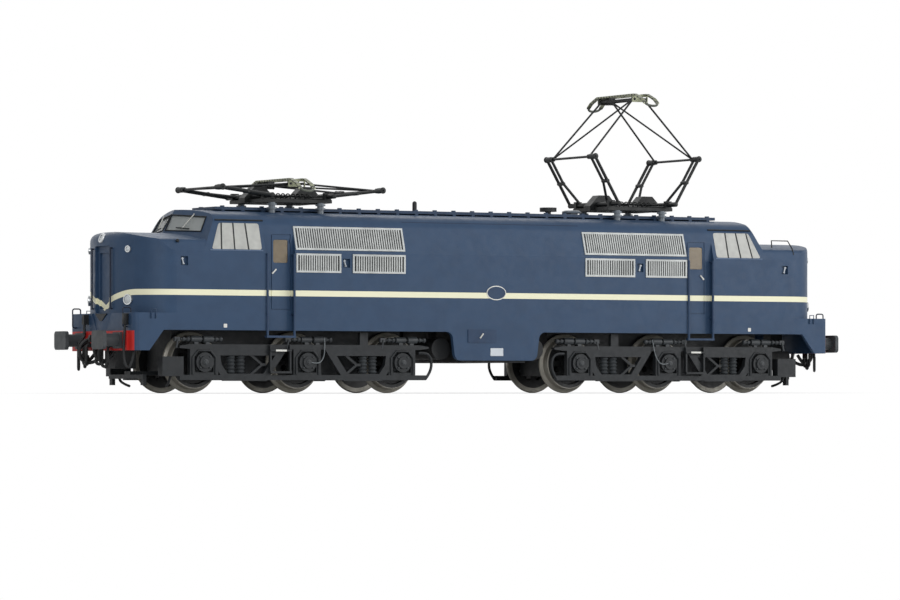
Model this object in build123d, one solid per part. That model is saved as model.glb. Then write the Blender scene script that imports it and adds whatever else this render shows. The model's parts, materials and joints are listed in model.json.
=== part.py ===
from build123d import *
import os
from math import atan2, cos, degrees, radians, sin, sqrt

os.makedirs("parts", exist_ok=True)

# Model electric locomotive, 1:87. Millimetres; x along the track, -y the near side, z up from the floor.
# End a lies at -x with its pantograph folded, end b at +x with its pantograph raised.

# Wheels and track
FLANGE_DEPTH = 1.0
TREAD_RADIUS = 6.3
FLANGE_RADIUS = TREAD_RADIUS + FLANGE_DEPTH
RAIL = FLANGE_DEPTH
AXLE_HEIGHT = FLANGE_RADIUS
BACK_TO_BACK = 14.4
WHEEL_WIDTH = 2.8
FLANGE_WIDTH = 0.8
AXLE_RADIUS = 1.0
AXLE_CLEARANCE = 0.05
AXLE_PLACES = {"inner": 25.2, "middle": 51.1, "outer": 78.6}

# Body envelope
HALF_WIDTH = 17.0
WALL = 1.1
FRONT_WALL = 2.2
BODY_BOTTOM = RAIL + 13.8
CREASE_HEIGHT = RAIL + 32.35
EAVES_HEIGHT = RAIL + 40.9
EAVES_HALF = 14.5
EAVES_RADIUS = 4.0
ROOF_HEIGHT = RAIL + 42.5
NOSE_OVERHANG = 19.45
NOSE_FRONT = AXLE_PLACES["outer"] + NOSE_OVERHANG
NOSE_ROOT = NOSE_FRONT - 16.4
NOSE_BOW = 26.0
NOSE_CORNER = 9.5
NOSE_SHOULDER = RAIL + 35.0
NOSE_HEIGHT = RAIL + 36.9
NOSE_EDGE = 2.2
FACET_SLOPE = (HALF_WIDTH - EAVES_HALF) / (EAVES_HEIGHT - CREASE_HEIGHT)
CAB_REACH = 86.0

# Windscreen planes
SCREEN_RAKE = 29.0
SCREEN_SWEEP = 16.0
SCREEN_FOOT = 82.0
PANE_PILLAR = 0.7
PANE_LOW = 0.7
PANE_LOW_OUTER = 0.1
PANE_HIGH = 5.0
PANE_HIGH_OUTER = 4.1
PANE_WIDE_LOW = 13.3
PANE_WIDE_HIGH = 13.0

# Cab side window, door and door bay
WINDOW_REAR = 64.3
WINDOW_FRONT_LOW = 76.7
WINDOW_FRONT_HIGH = 74.2
WINDOW_LOW = RAIL + 32.9
WINDOW_HIGH = RAIL + 38.9
BAY_INNER = 55.4
BAY_OUTER = 63.3
BAY_DEPTH = 1.2
BAY_TOP = RAIL + 37.2
DOOR_INNER = 56.05
DOOR_OUTER = 61.3
DOOR_SILL = RAIL + 18.7
DOOR_TOP = RAIL + 36.6
DOOR_GLASS_LOW = RAIL + 29.8
DOOR_GLASS_HIGH = RAIL + 35.3
DOOR_GLASS_INNER = 56.8
DOOR_GLASS_OUTER = 60.7
GLASS = 0.5
GLASS_FIT = 0.03
GROOVE = 0.2
GROOVE_DEPTH = 0.2
NOSE_DOOR_HALF = 3.7
NOSE_DOOR_DEPTH = 0.9
NOSE_DOOR_TOP = RAIL + 33.6
NOSE_PANEL_HALF = 2.5
NOSE_PANEL_DEPTH = 0.35
NICHE_WIDE = 1.9
NICHE_HIGH = 2.1
NICHE_DEPTH = 0.7
NICHE_LOW = RAIL + 28.9
NICHE_PLACES = (84.8, 41.5)

# Skirt and pilot
SKIRT_BOTTOM = RAIL + 6.9
SKIRT_HALF = 12.4
SKIRT_TAPER = 0.9
SKIRT_ROUND = 1.7
PILOT_SETBACK = 0.1
PILOT_FRONT = NOSE_FRONT - PILOT_SETBACK
PILOT_CORNER = 1.4
PILOT_TOP = RAIL + 17.8
PILOT_BOTTOM = RAIL + 9.0
PILOT_HEEL = PILOT_FRONT - 7.75
PILOT_TOE = PILOT_FRONT - 4.05
PILOT_ROOT = PILOT_HEEL - 4.7
PILOT_WALL = 1.0
NOTCH_TOP = 6.0
NOTCH_LOW = 2.6
NOTCH_DEPTH = 4.0
BEAM_TOP = RAIL + 13.6
BEAM_THICK = 0.5
BEAM_HALF = 14.2

# Buffers and couplings
BUFFER_REACH = 6.05
BUFFER_FACE = PILOT_FRONT + BUFFER_REACH
BUFFER_HEIGHT = RAIL + 11.45
BUFFER_SPREAD = 10.06
BUFFER_WIDE = 6.2
BUFFER_HIGH = 4.4
BUFFER_HEAD = 0.9
SHANK_RADIUS = 1.5

# Grilles
GRILLE_FRAME = 0.45
GRILLE_PROUD = 0.25
SLAT_PITCH = 0.62
SLAT_WIDTH = 0.3
GRILLE_LOW_BOTTOM = RAIL + 27.6
GRILLE_LOW_TOP = RAIL + 32.1
GRILLE_HIGH_BOTTOM = RAIL + 32.9
GRILLE_HIGH_TOP = RAIL + 38.5
GRILLE_SPANS = {"outer": (43.1, 55.2), "inner": (25.45, 39.9), "upper": (25.45, 55.2)}

# Chassis
FLOOR_LOW = RAIL + 14.3
FLOOR_THICK = 1.6
FLOOR_GAP = 0.3
BELLY_HALF = 9.0
BELLY_LOW = RAIL + 6.4
DRIVE_REACH = 46.0
DRIVE_HALF = 11.0
DRIVE_TOP = RAIL + 33.0
TANK_X = 13.2
TANK_RADIUS = 2.6
TANK_HEIGHT = RAIL + 9.7
TANK_HALF = 13.0
TANK_FOOT = 8.0
PIVOT = 52.0
PIVOT_RADIUS = 2.5
PIVOT_CLEARANCE = 0.06

# Bogies
BLOCK_HALF = 6.4
BLOCK_LOW = RAIL + 3.2
BLOCK_HIGH = RAIL + 14.0
FRAME_INNER = 13.6
FRAME_THICK = 1.4
FRAME_LOW = RAIL + 1.9
FRAME_HIGH = RAIL + 10.5
BEAM_LOW = RAIL + 9.4
SPRING_RADIUS = 1.15
BOX_RADIUS = 2.3
BRAKE_HEIGHT = RAIL + 11.7

# Pantographs
PANTO_X = {"a": -50.2, "b": 47.2}
BASE_HALF = 8.4
BASE_HEIGHT = RAIL + 46.1
LOWER_LENGTH = 13.4
HEAD_HALF = 1.6
FOLDED_LOWER = 7.0
RAISED_LOWER = 59.0
UPPER_RISE = 1.3
KNEE_HALF = 10.9
BASE_SIDE = 7.8
TOP_HALF = 7.3
PIN_RADIUS = 0.3
PIN_CLEARANCE = 0.05
EYE_RADIUS = 0.6
TUBE = 0.36
THIN = 0.24
COVER_TOP = BASE_HEIGHT + 2.3
COVER_HALF = 1.5
BOW_HALF = 13.3
BOW_FLAT = 8.6
BOW_DROP = 2.4


# Helpers
def along_x(sketch, low, high):
    """Extrude a sketch drawn in y and z between two x places."""
    return extrude(Plane((low, 0, 0), x_dir=(0, 1, 0), z_dir=(1, 0, 0)) * sketch, high - low)


def along_y(sketch, low, high):
    """Extrude a sketch drawn in x and z between two y places."""
    return extrude(Plane((0, high, 0), x_dir=(1, 0, 0), z_dir=(0, -1, 0)) * sketch, high - low)


def along_z(sketch, low, high):
    """Extrude a sketch drawn in x and y between two heights."""
    return extrude(Plane((0, 0, low)) * sketch, high - low)


def polygon(*points):
    """Make a face from corner points."""
    return make_face(Polyline(*points, close=True))


def block(x_low, x_high, y_low, y_high, z_low, z_high):
    """Make a box from its limits."""
    place = Pos((x_low + x_high) / 2, (y_low + y_high) / 2, (z_low + z_high) / 2)
    return place * Box(x_high - x_low, y_high - y_low, z_high - z_low)


def rod(start, end, radius):
    """Make a round rod between two points."""
    span = Vector(*end) - Vector(*start)
    plane = Plane(origin=start, z_dir=span)
    return plane * Cylinder(radius, span.length, align=(Align.CENTER, Align.CENTER, Align.MIN))


def wire(radius, bend, *points):
    """Make a bent round wire through points."""
    path = FilletPolyline(*points, radius=bend)
    return sweep(Plane(origin=path @ 0, z_dir=path % 0) * Circle(radius), path=path)


def turn(shape):
    """Turn a shape made for end b round to end a."""
    return Rot(0, 0, 180) * shape


def flip(shape):
    """Mirror a shape made for one side over to the other side."""
    return mirror(shape, about=Plane.XZ)


def both_sides(shape):
    """Give a shape on both sides of the locomotive."""
    return [shape, flip(shape)]


def all_solids(shapes):
    """Collect the solids of several shapes in one compound."""
    return Compound([solid for shape in shapes for solid in shape.solids()])


# Body shell
def section(inset, low, edge_half, edge_height, crown, radius):
    """Cross section of the body in y and z."""
    wide = HALF_WIDTH - inset
    edge = edge_half - inset
    side = Polyline(
        (-edge, edge_height), (-wide, CREASE_HEIGHT), (-wide, low),
        (wide, low), (wide, CREASE_HEIGHT), (edge, edge_height),
    )
    roof = ThreePointArc((edge, edge_height), (0, crown - inset), (-edge, edge_height))
    face = make_face([*side.edges(), *roof.edges()])
    corners = [v for v in face.vertices() if abs(v.Y - edge_height) < 0.001]
    return fillet(corners, radius)


def nose_plan(inset, front_inset):
    """Plan outline of the body with a nose at each end."""
    wide = HALF_WIDTH - inset
    front = NOSE_FRONT - front_inset
    corner = NOSE_CORNER - inset
    bow = NOSE_BOW
    drop = wide - corner
    reach = sqrt((bow - corner) ** 2 - drop ** 2)
    centre = front - bow
    meet_x = centre + reach * bow / (bow - corner)
    meet_y = drop * bow / (bow - corner)
    middle = radians((degrees(atan2(drop, reach)) + 90) / 2)
    mid_x = centre + reach + corner * cos(middle)
    mid_y = drop + corner * sin(middle)
    side_end = centre + reach
    edges = []
    for end in (-1, 1):
        edges += ThreePointArc((end * meet_x, -meet_y), (end * front, 0), (end * meet_x, meet_y)).edges()
        for hand in (-1, 1):
            edges += ThreePointArc(
                (end * meet_x, hand * meet_y), (end * mid_x, hand * mid_y), (end * side_end, hand * wide)
            ).edges()
    for hand in (-1, 1):
        edges += Line((-side_end, hand * wide), (side_end, hand * wide)).edges()
    return make_face(edges)


def screen_plane(end, hand, inset):
    """Plane of one windscreen pane, local x away from the centre pillar."""
    rake = radians(SCREEN_RAKE)
    sweep_angle = radians(SCREEN_SWEEP)
    normal = Vector(end * cos(rake) * cos(sweep_angle), hand * cos(rake) * sin(sweep_angle), sin(rake))
    across = Vector(-end * sin(sweep_angle), hand * cos(sweep_angle), 0)
    origin = Vector(end * SCREEN_FOOT, 0, NOSE_HEIGHT) - normal * inset
    return Plane(origin=origin, x_dir=across, z_dir=normal)


def envelope(inset, front_inset, low):
    """Solid body envelope, moved in by the given wall."""
    nose_face = section(inset, low, HALF_WIDTH - 0.85, NOSE_SHOULDER - inset * 0.5, NOSE_HEIGHT, 1.2)
    top = NOSE_HEIGHT - inset
    nose = along_z(nose_plan(inset, front_inset), low, top)
    upper = [edge for edge in nose.edges() if abs(edge.center().Z - top) < 0.001]
    rim = [edge for edge in upper if abs(edge.center().X) > NOSE_ROOT]
    nose = fillet(rim, NOSE_EDGE) & along_x(nose_face, -NOSE_FRONT - 1, NOSE_FRONT + 1)
    cab_face = section(inset, low, EAVES_HALF, EAVES_HEIGHT - inset * 0.5, ROOF_HEIGHT, EAVES_RADIUS)
    cab = along_x(cab_face, -CAB_REACH, CAB_REACH)
    for end in (-1, 1):
        for hand in (-1, 1):
            tool = Box(120, 120, 40, align=(Align.CENTER, Align.CENTER, Align.MIN))
            cab -= screen_plane(end, hand, inset) * tool
    return nose + cab


def pane_face(end, hand, fit):
    """Face of one windscreen opening in its own plane."""
    up = end * hand
    face = polygon(
        (PANE_PILLAR, up * PANE_LOW), (PANE_WIDE_LOW, up * PANE_LOW_OUTER),
        (PANE_WIDE_HIGH, up * PANE_HIGH_OUTER), (PANE_PILLAR, up * PANE_HIGH),
    )
    return offset(fillet(face.vertices(), 0.6), -fit) if fit else fillet(face.vertices(), 0.6)


def side_window(fit):
    """Outline of the cab side window in x and z at end b."""
    face = polygon(
        (WINDOW_REAR, WINDOW_LOW), (WINDOW_FRONT_LOW, WINDOW_LOW),
        (WINDOW_FRONT_HIGH, WINDOW_HIGH), (WINDOW_REAR, WINDOW_HIGH),
    )
    face = fillet(face.vertices(), 0.8)
    return offset(face, -fit) if fit else face


def door_window(fit):
    """Outline of the door window in x and z at end b."""
    face = polygon(
        (DOOR_GLASS_INNER, DOOR_GLASS_LOW), (DOOR_GLASS_OUTER, DOOR_GLASS_LOW),
        (DOOR_GLASS_OUTER, DOOR_GLASS_HIGH), (DOOR_GLASS_INNER, DOOR_GLASS_HIGH),
    )
    face = fillet(face.vertices(), 0.5)
    return offset(face, -fit) if fit else face


def pilot_solid(inset, low):
    """Pilot box of end b, moved in by the given wall."""
    wide = HALF_WIDTH - inset
    front = PILOT_FRONT - inset
    toe = PILOT_TOE + (PILOT_BOTTOM - low) * (PILOT_TOE - PILOT_HEEL) / (BODY_BOTTOM - PILOT_BOTTOM)
    plan_face = polygon((PILOT_ROOT, -wide), (front, -wide), (front, wide), (PILOT_ROOT, wide))
    corners = [v for v in plan_face.vertices() if v.X > PILOT_HEEL]
    plan_solid = along_z(fillet(corners, PILOT_CORNER), low, PILOT_TOP - inset)
    side_face = polygon(
        (PILOT_ROOT, PILOT_TOP), (front, PILOT_TOP), (front, low), (toe, low), (PILOT_HEEL, BODY_BOTTOM),
        (PILOT_ROOT, BODY_BOTTOM),
    )
    return plan_solid & along_y(side_face, -HALF_WIDTH, HALF_WIDTH)


shell = envelope(0, 0, BODY_BOTTOM)
core = envelope(WALL, FRONT_WALL, BODY_BOTTOM - 5)
leaf_plane = HALF_WIDTH - BAY_DEPTH
for end in (-1, 1):
    bay = sorted((end * (BAY_INNER - 1), end * (BAY_OUTER + 1)))
    for hand in (-1, 1):
        wall = sorted((hand * (leaf_plane - WALL), hand * 30))
        core -= block(*bay, *wall, 0, BAY_TOP + 1)
shell -= core
skirt_face = polygon(
    (-SKIRT_HALF - 4, BODY_BOTTOM + 1), (-SKIRT_HALF - 4, BODY_BOTTOM), (-SKIRT_HALF, BODY_BOTTOM),
    (-SKIRT_HALF + SKIRT_TAPER, SKIRT_BOTTOM), (SKIRT_HALF - SKIRT_TAPER, SKIRT_BOTTOM),
    (SKIRT_HALF, BODY_BOTTOM), (SKIRT_HALF + 4, BODY_BOTTOM), (SKIRT_HALF + 4, BODY_BOTTOM + 1),
)
bends = [v for v in skirt_face.vertices() if abs(v.X) < SKIRT_HALF + 1]
skirt_face = fillet(bends, SKIRT_ROUND)
for side in both_sides(along_y(skirt_face, -HALF_WIDTH, -HALF_WIDTH + WALL)):
    shell += side
pilot = pilot_solid(0, PILOT_BOTTOM) - pilot_solid(PILOT_WALL, PILOT_BOTTOM - 5)
inner_half = HALF_WIDTH - WALL
pilot -= block(PILOT_ROOT - 1, PILOT_HEEL - 0.01, -inner_half, inner_half, 0, PILOT_TOP - PILOT_WALL)
notch = polygon(
    (-NOTCH_TOP, PILOT_TOP + 1), (-NOTCH_LOW, PILOT_TOP - NOTCH_DEPTH),
    (NOTCH_LOW, PILOT_TOP - NOTCH_DEPTH), (NOTCH_TOP, PILOT_TOP + 1),
)
pilot -= along_x(notch, PILOT_FRONT - PILOT_WALL - 0.3, PILOT_FRONT + 1) - envelope(0, 0, BODY_BOTTOM)
shell += pilot
shell += turn(pilot)
for end in (-1, 1):
    bay = sorted((end * BAY_INNER, end * BAY_OUTER))
    for hand in (-1, 1):
        wall = sorted((hand * leaf_plane, hand * 30))
        shell -= block(*bay, *wall, 0, BAY_TOP)
    door = sorted((end * (NOSE_FRONT - NOSE_DOOR_DEPTH), end * 120))
    shell -= block(*door, -NOSE_DOOR_HALF, NOSE_DOOR_HALF, PILOT_TOP, NOSE_DOOR_TOP)
    panel = sorted((end * (NOSE_FRONT - NOSE_DOOR_DEPTH - NOSE_PANEL_DEPTH), end * 120))
    shell -= block(*panel, -NOSE_PANEL_HALF, NOSE_PANEL_HALF, PILOT_TOP + 1.0, NOSE_DOOR_TOP - 1.6)
    for hand in (-1, 1):
        shell -= extrude(screen_plane(end, hand, 0) * pane_face(end, hand, 0), 3, both=True)
for turned in (0, 180):
    for hand in ((-30, -8), (8, 30)):
        shell -= Rot(0, 0, turned) * along_y(side_window(0), *hand)
        shell -= Rot(0, 0, turned) * along_y(door_window(0), *hand)
        groove_floor = leaf_plane - GROOVE_DEPTH
        groove_span = (-leaf_plane, -groove_floor) if hand[0] < 0 else (groove_floor, leaf_plane)
        leaf = polygon(
            (DOOR_INNER, DOOR_SILL), (DOOR_OUTER, DOOR_SILL), (DOOR_OUTER, DOOR_TOP), (DOOR_INNER, DOOR_TOP)
        )
        groove = leaf - offset(leaf, -GROOVE, kind=Kind.INTERSECTION)
        shell -= Rot(0, 0, turned) * along_y(groove, *groove_span)
        niche_span = (-30, -HALF_WIDTH + NICHE_DEPTH) if hand[0] < 0 else (HALF_WIDTH - NICHE_DEPTH, 30)
        for place in NICHE_PLACES:
            niche = block(
                place - NICHE_WIDE / 2, place + NICHE_WIDE / 2, *niche_span, NICHE_LOW, NICHE_LOW + NICHE_HIGH
            )
            shell -= Rot(0, 0, turned) * niche

# Glazing and cab interiors
glass = []
for hand in (-1, 1):
    pane = screen_plane(1, hand, 0.2 + GLASS) * pane_face(1, hand, GLASS_FIT)
    glass.append(extrude(pane, GLASS))
    pane_low = HALF_WIDTH - BAY_DEPTH - 0.2 - GLASS
    pane_edge = sorted((hand * pane_low, hand * (pane_low + GLASS)))
    glass.append(along_y(door_window(GLASS_FIT), *pane_edge))
    facet = section(0.2, BODY_BOTTOM, EAVES_HALF, EAVES_HEIGHT, ROOF_HEIGHT, EAVES_RADIUS)
    facet -= section(0.2 + GLASS, BODY_BOTTOM - 1, EAVES_HALF, EAVES_HEIGHT, ROOF_HEIGHT, EAVES_RADIUS)
    window_span = (-30, 0) if hand < 0 else (0, 30)
    glass.append(along_x(facet, 60, 80) & along_y(side_window(GLASS_FIT), *window_span))
cab_glazing_b = all_solids(glass)

FLOOR_CAB = RAIL + 24.0
CAB_HALF = 13.4
cab_interior_b = block(53.0, 54.2, -CAB_HALF, CAB_HALF, FLOOR_CAB, RAIL + 37.8)
cab_interior_b += block(53.0, 76.0, -CAB_HALF, CAB_HALF, FLOOR_CAB, FLOOR_CAB + 1)
cab_interior_b += block(72.5, 76.0, -CAB_HALF, CAB_HALF, FLOOR_CAB, RAIL + 33.6)
for seat in (-7.0, 7.0):
    cab_interior_b += block(62.5, 66.0, seat - 2, seat + 2, FLOOR_CAB, RAIL + 30.0)
    cab_interior_b += block(61.8, 62.8, seat - 2, seat + 2, FLOOR_CAB, RAIL + 35.0)

# Grilles on the near side
LEAN = degrees(atan2(HALF_WIDTH - EAVES_HALF, EAVES_HEIGHT - CREASE_HEIGHT))


def grille(x_low, x_high, height):
    """Framed grille with upright slats, drawn flat in x and height."""
    frame = polygon((x_low, 0), (x_high, 0), (x_high, height), (x_low, height))
    hole = offset(frame, -GRILLE_FRAME, kind=Kind.INTERSECTION)
    face = frame - hole
    count = int((x_high - x_low - 2 * GRILLE_FRAME) / SLAT_PITCH)
    pitch = (x_high - x_low - 2 * GRILLE_FRAME) / count
    for index in range(1, count):
        middle = x_low + GRILLE_FRAME + index * pitch
        face += Pos(middle, height / 2) * Rectangle(SLAT_WIDTH, height - GRILLE_FRAME)
    return face


near_grilles = []
for end in (-1, 1):
    for name, (inner, outer) in GRILLE_SPANS.items():
        x_low, x_high = sorted((end * inner, end * outer))
        if name == "upper":
            height = (GRILLE_HIGH_TOP - GRILLE_HIGH_BOTTOM) / cos(radians(LEAN))
            foot = HALF_WIDTH - (GRILLE_HIGH_BOTTOM - CREASE_HEIGHT) * FACET_SLOPE
            lean = radians(LEAN)
            plane = Plane(
                origin=(0, -foot, GRILLE_HIGH_BOTTOM), x_dir=(1, 0, 0), z_dir=(0, -cos(lean), sin(lean))
            )
        else:
            height = GRILLE_LOW_TOP - GRILLE_LOW_BOTTOM
            plane = Plane(origin=(0, -HALF_WIDTH, GRILLE_LOW_BOTTOM), x_dir=(1, 0, 0), z_dir=(0, -1, 0))
        near_grilles.append(extrude(plane * grille(x_low, x_high, height), GRILLE_PROUD))
grilles_near = all_solids(near_grilles)
grilles_far = all_solids([flip(item) for item in near_grilles])

# Lamps
LAMPS = (
    {"side": 10.2, "height": RAIL + 20.9, "radius": 1.25, "reach": 0.5},
    {"side": 10.2, "height": RAIL + 32.7, "radius": 0.8, "reach": 0.4},
)
TOP_LAMP_HEIGHT = RAIL + 35.0
lamps = []
bow_centre = NOSE_FRONT - NOSE_BOW
for lamp in LAMPS:
    front = bow_centre + sqrt(NOSE_BOW ** 2 - lamp["side"] ** 2)
    for hand in (-1, 1):
        outward = Vector(front - bow_centre, hand * lamp["side"], 0).normalized()
        plane = Plane(origin=Vector(front, hand * lamp["side"], lamp["height"]), z_dir=outward)
        body = Cylinder(lamp["radius"], lamp["reach"], align=(Align.CENTER, Align.CENTER, Align.MIN))
        hollow = Pos(0, 0, lamp["reach"] - 0.15) * Cylinder(lamp["radius"] - 0.25, 1)
        lamps.append(plane * (body - hollow) - shell)
top_lamp = Plane(origin=(NOSE_FRONT - 1.4, 0, TOP_LAMP_HEIGHT), z_dir=(1, 0, 0.25)) * Cylinder(1.05, 2.4)
lamps.append((top_lamp - shell))
lamps_b = all_solids([max(item.solids(), key=lambda s: s.center().X) for item in lamps])

# Pilots: red beam, buffers, couplings and hoses
buffer_beam_b = block(
    PILOT_FRONT, PILOT_FRONT + BEAM_THICK, -BEAM_HALF, BEAM_HALF, PILOT_BOTTOM, BEAM_TOP
)
beam_face = PILOT_FRONT + BEAM_THICK
buffers = []
for hand in (-1, 1):
    flange = block(
        beam_face, beam_face + 0.6, hand * BUFFER_SPREAD - 2, hand * BUFFER_SPREAD + 2,
        BUFFER_HEIGHT - 2, BUFFER_HEIGHT + 1.8,
    )
    shank = rod(
        (beam_face, hand * BUFFER_SPREAD, BUFFER_HEIGHT),
        (BUFFER_FACE - 0.3, hand * BUFFER_SPREAD, BUFFER_HEIGHT), SHANK_RADIUS,
    )
    head = Rectangle(BUFFER_WIDE, BUFFER_HIGH)
    head = Pos(hand * BUFFER_SPREAD, BUFFER_HEIGHT) * fillet(head.vertices(), 0.9)
    buffers.append(flange + shank + along_x(head, BUFFER_FACE - BUFFER_HEAD, BUFFER_FACE))
buffers_b = all_solids(buffers)

POCKET_FACE = PILOT_FRONT - 2.2
POCKET_LENGTH = 5.4
POCKET_BOX_HALF = 2.8
POCKET_STEM_HALF = 1.6
POCKET_BOTTOM = RAIL + 4.8
POCKET_TOP = RAIL + 9.6
POCKET_HALF = 1.65
POCKET_LOW = RAIL + 7.4
POCKET_HIGH = RAIL + 8.9
HOOK_HEIGHT = RAIL + 11.6
pocket_rear = POCKET_FACE - POCKET_LENGTH
pocket = block(pocket_rear, POCKET_FACE, -POCKET_BOX_HALF, POCKET_BOX_HALF, POCKET_BOTTOM, POCKET_TOP)
pocket += block(
    pocket_rear + 0.6, POCKET_FACE - 1.2, -POCKET_STEM_HALF, POCKET_STEM_HALF, POCKET_TOP - 0.2, FLOOR_LOW
)
pocket -= block(pocket_rear + 1.2, POCKET_FACE + 1, -POCKET_HALF, POCKET_HALF, POCKET_LOW, POCKET_HIGH)
hook_face = polygon(
    (beam_face, HOOK_HEIGHT - 0.6), (beam_face + 2.6, HOOK_HEIGHT - 0.6), (beam_face + 3.0, HOOK_HEIGHT + 0.2),
    (beam_face + 2.6, HOOK_HEIGHT + 1.1), (beam_face + 2.1, HOOK_HEIGHT + 0.9),
    (beam_face + 2.1, HOOK_HEIGHT + 0.3), (beam_face, HOOK_HEIGHT + 0.3),
)
hook = along_y(hook_face, -0.45, 0.45)
hook += block(beam_face, beam_face + 0.4, -1.5, 1.5, HOOK_HEIGHT - 1.2, HOOK_HEIGHT + 1.2)
coupling_b = all_solids([pocket, hook])

HOSES = (
    {"side": 2.6, "top": RAIL + 10.4, "low": RAIL + 6.0, "out": 2.2, "swing": 1.6, "radius": 0.38},
    {"side": 4.5, "top": RAIL + 10.2, "low": RAIL + 5.4, "out": 1.6, "swing": 1.5, "radius": 0.38},
    {"side": 6.6, "top": RAIL + 10.0, "low": RAIL + 5.8, "out": 1.1, "swing": -1.4, "radius": 0.3},
)
hoses = []
for hose in HOSES:
    for hand in (-1, 1):
        side = hand * hose["side"]
        swung = hand * (hose["side"] + hose["swing"])
        reach = beam_face + hose["out"]
        hoses.append(
            wire(
                hose["radius"], 0.7, (beam_face, side, hose["top"]), (reach, side, hose["top"]),
                (reach, side, hose["low"]), (reach - 0.6, swung, hose["low"] - 0.3),
                (reach - 0.6, swung, hose["low"] + 2.2),
            )
        )
JUMPER_SIDE = -7.4
plug = block(
    PILOT_FRONT, PILOT_FRONT + 1.3, JUMPER_SIDE - 0.6, JUMPER_SIDE + 0.6, BEAM_TOP + 1.6, PILOT_TOP - 0.3
)
plug += wire(
    0.32, 0.8,
    (PILOT_FRONT + 0.9, JUMPER_SIDE, PILOT_TOP - 1), (PILOT_FRONT + 0.9, JUMPER_SIDE, BEAM_TOP - 1.0),
    (PILOT_FRONT + 2.4, JUMPER_SIDE - 0.2, BEAM_TOP - 3.0), (PILOT_FRONT + 2.4, JUMPER_SIDE - 0.2, RAIL + 4.6),
    (PILOT_FRONT + 1.6, JUMPER_SIDE - 1.5, RAIL + 4.6), (PILOT_FRONT + 1.6, JUMPER_SIDE - 1.5, RAIL + 8.2),
)
hoses.append(plug)
hoses_b = all_solids(hoses)

# Handrails and door stirrups
RAIL_RADIUS = 0.3
RAIL_STUB = 0.22
RAIL_FACE = HALF_WIDTH + 0.2
RAIL_TOP = RAIL + 32.0
STEP_TOP = RAIL + 12.6
STEP_THICK = 0.5
near_rails = []
for end in (-1, 1):
    frame = block(
        *sorted((end * (BAY_INNER + 0.05), end * (BAY_OUTER - 0.05))),
        -RAIL_FACE - RAIL_RADIUS, -HALF_WIDTH + 0.6, STEP_TOP - STEP_THICK, STEP_TOP,
    )
    for place in (BAY_INNER + 0.35, BAY_OUTER - 0.35):
        foot = (end * place, -RAIL_FACE, STEP_TOP - 0.2)
        frame += rod(foot, (end * place, -RAIL_FACE, RAIL_TOP), RAIL_RADIUS)
        for height in (RAIL_TOP - 0.3, DOOR_SILL - 1.0):
            frame += rod((end * place, -RAIL_FACE, height), (end * place, -leaf_plane, height), RAIL_STUB)
    near_rails.append(frame)
handrails_near = all_solids(near_rails)
handrails_far = all_solids([flip(item) for item in near_rails])

NOSE_RAIL_SIDE = 4.9
NOSE_RAIL_LOW = PILOT_TOP + 0.9
NOSE_RAIL_HIGH = RAIL + 33.2
end_rails = []
for hand in (-1, 1):
    side = hand * NOSE_RAIL_SIDE
    face_x = NOSE_FRONT - NOSE_BOW + sqrt(NOSE_BOW ** 2 - NOSE_RAIL_SIDE ** 2)
    rail = rod((face_x + 0.5, side, NOSE_RAIL_LOW), (face_x + 0.5, side, NOSE_RAIL_HIGH), 0.2)
    for height in (NOSE_RAIL_LOW + 0.2, NOSE_RAIL_HIGH - 0.2):
        rail += rod((face_x - 0.2, side, height), (face_x + 0.5, side, height), 0.16) - shell
    end_rails.append(rail)
    corner = wire(
        0.16, 0.5,
        (PILOT_FRONT - 1.0, hand * 13.4, PILOT_TOP), (PILOT_FRONT - 1.0, hand * 13.4, PILOT_TOP + 1.2),
        (PILOT_FRONT + 1.1, hand * 13.4, PILOT_TOP + 1.2), (PILOT_FRONT + 1.1, hand * 13.4, BEAM_TOP + 0.9),
        (PILOT_FRONT, hand * 13.4, BEAM_TOP + 0.9),
    )
    end_rails.append(corner)
end_rails_b = all_solids(end_rails)

# Chassis and the closed inside
floor_plan = nose_plan(WALL + FLOOR_GAP, FRONT_WALL + FLOOR_GAP)
chassis = along_z(floor_plan, FLOOR_LOW, FLOOR_LOW + FLOOR_THICK)
for end in (-1, 1):
    hole = Cylinder(PIVOT_RADIUS + PIVOT_CLEARANCE, 20)
    chassis -= Pos(end * PIVOT, 0, FLOOR_LOW) * hole
    bay = sorted((end * (BAY_INNER - 1.4), end * (BAY_OUTER + 1.4)))
    for hand in (-1, 1):
        chassis -= block(*bay, *sorted((hand * (leaf_plane - WALL - FLOOR_GAP), hand * 30)), 0, 60)
belly_side = HALF_WIDTH - WALL - FLOOR_GAP
chassis += block(-BELLY_HALF, BELLY_HALF, -belly_side, belly_side, BELLY_LOW, FLOOR_LOW)
drive_block = block(-DRIVE_REACH, DRIVE_REACH, -DRIVE_HALF, DRIVE_HALF, FLOOR_LOW + FLOOR_THICK, DRIVE_TOP)
tanks = []
for end in (-1, 1):
    tank = rod((end * TANK_X, -TANK_HALF, TANK_HEIGHT), (end * TANK_X, TANK_HALF, TANK_HEIGHT), TANK_RADIUS)
    for side in (-TANK_FOOT, TANK_FOOT):
        tank += block(end * TANK_X - 1.0, end * TANK_X + 1.0, side - 0.8, side + 0.8, TANK_HEIGHT, FLOOR_LOW)
    tanks.append(tank)
air_tanks = all_solids(tanks)

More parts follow.
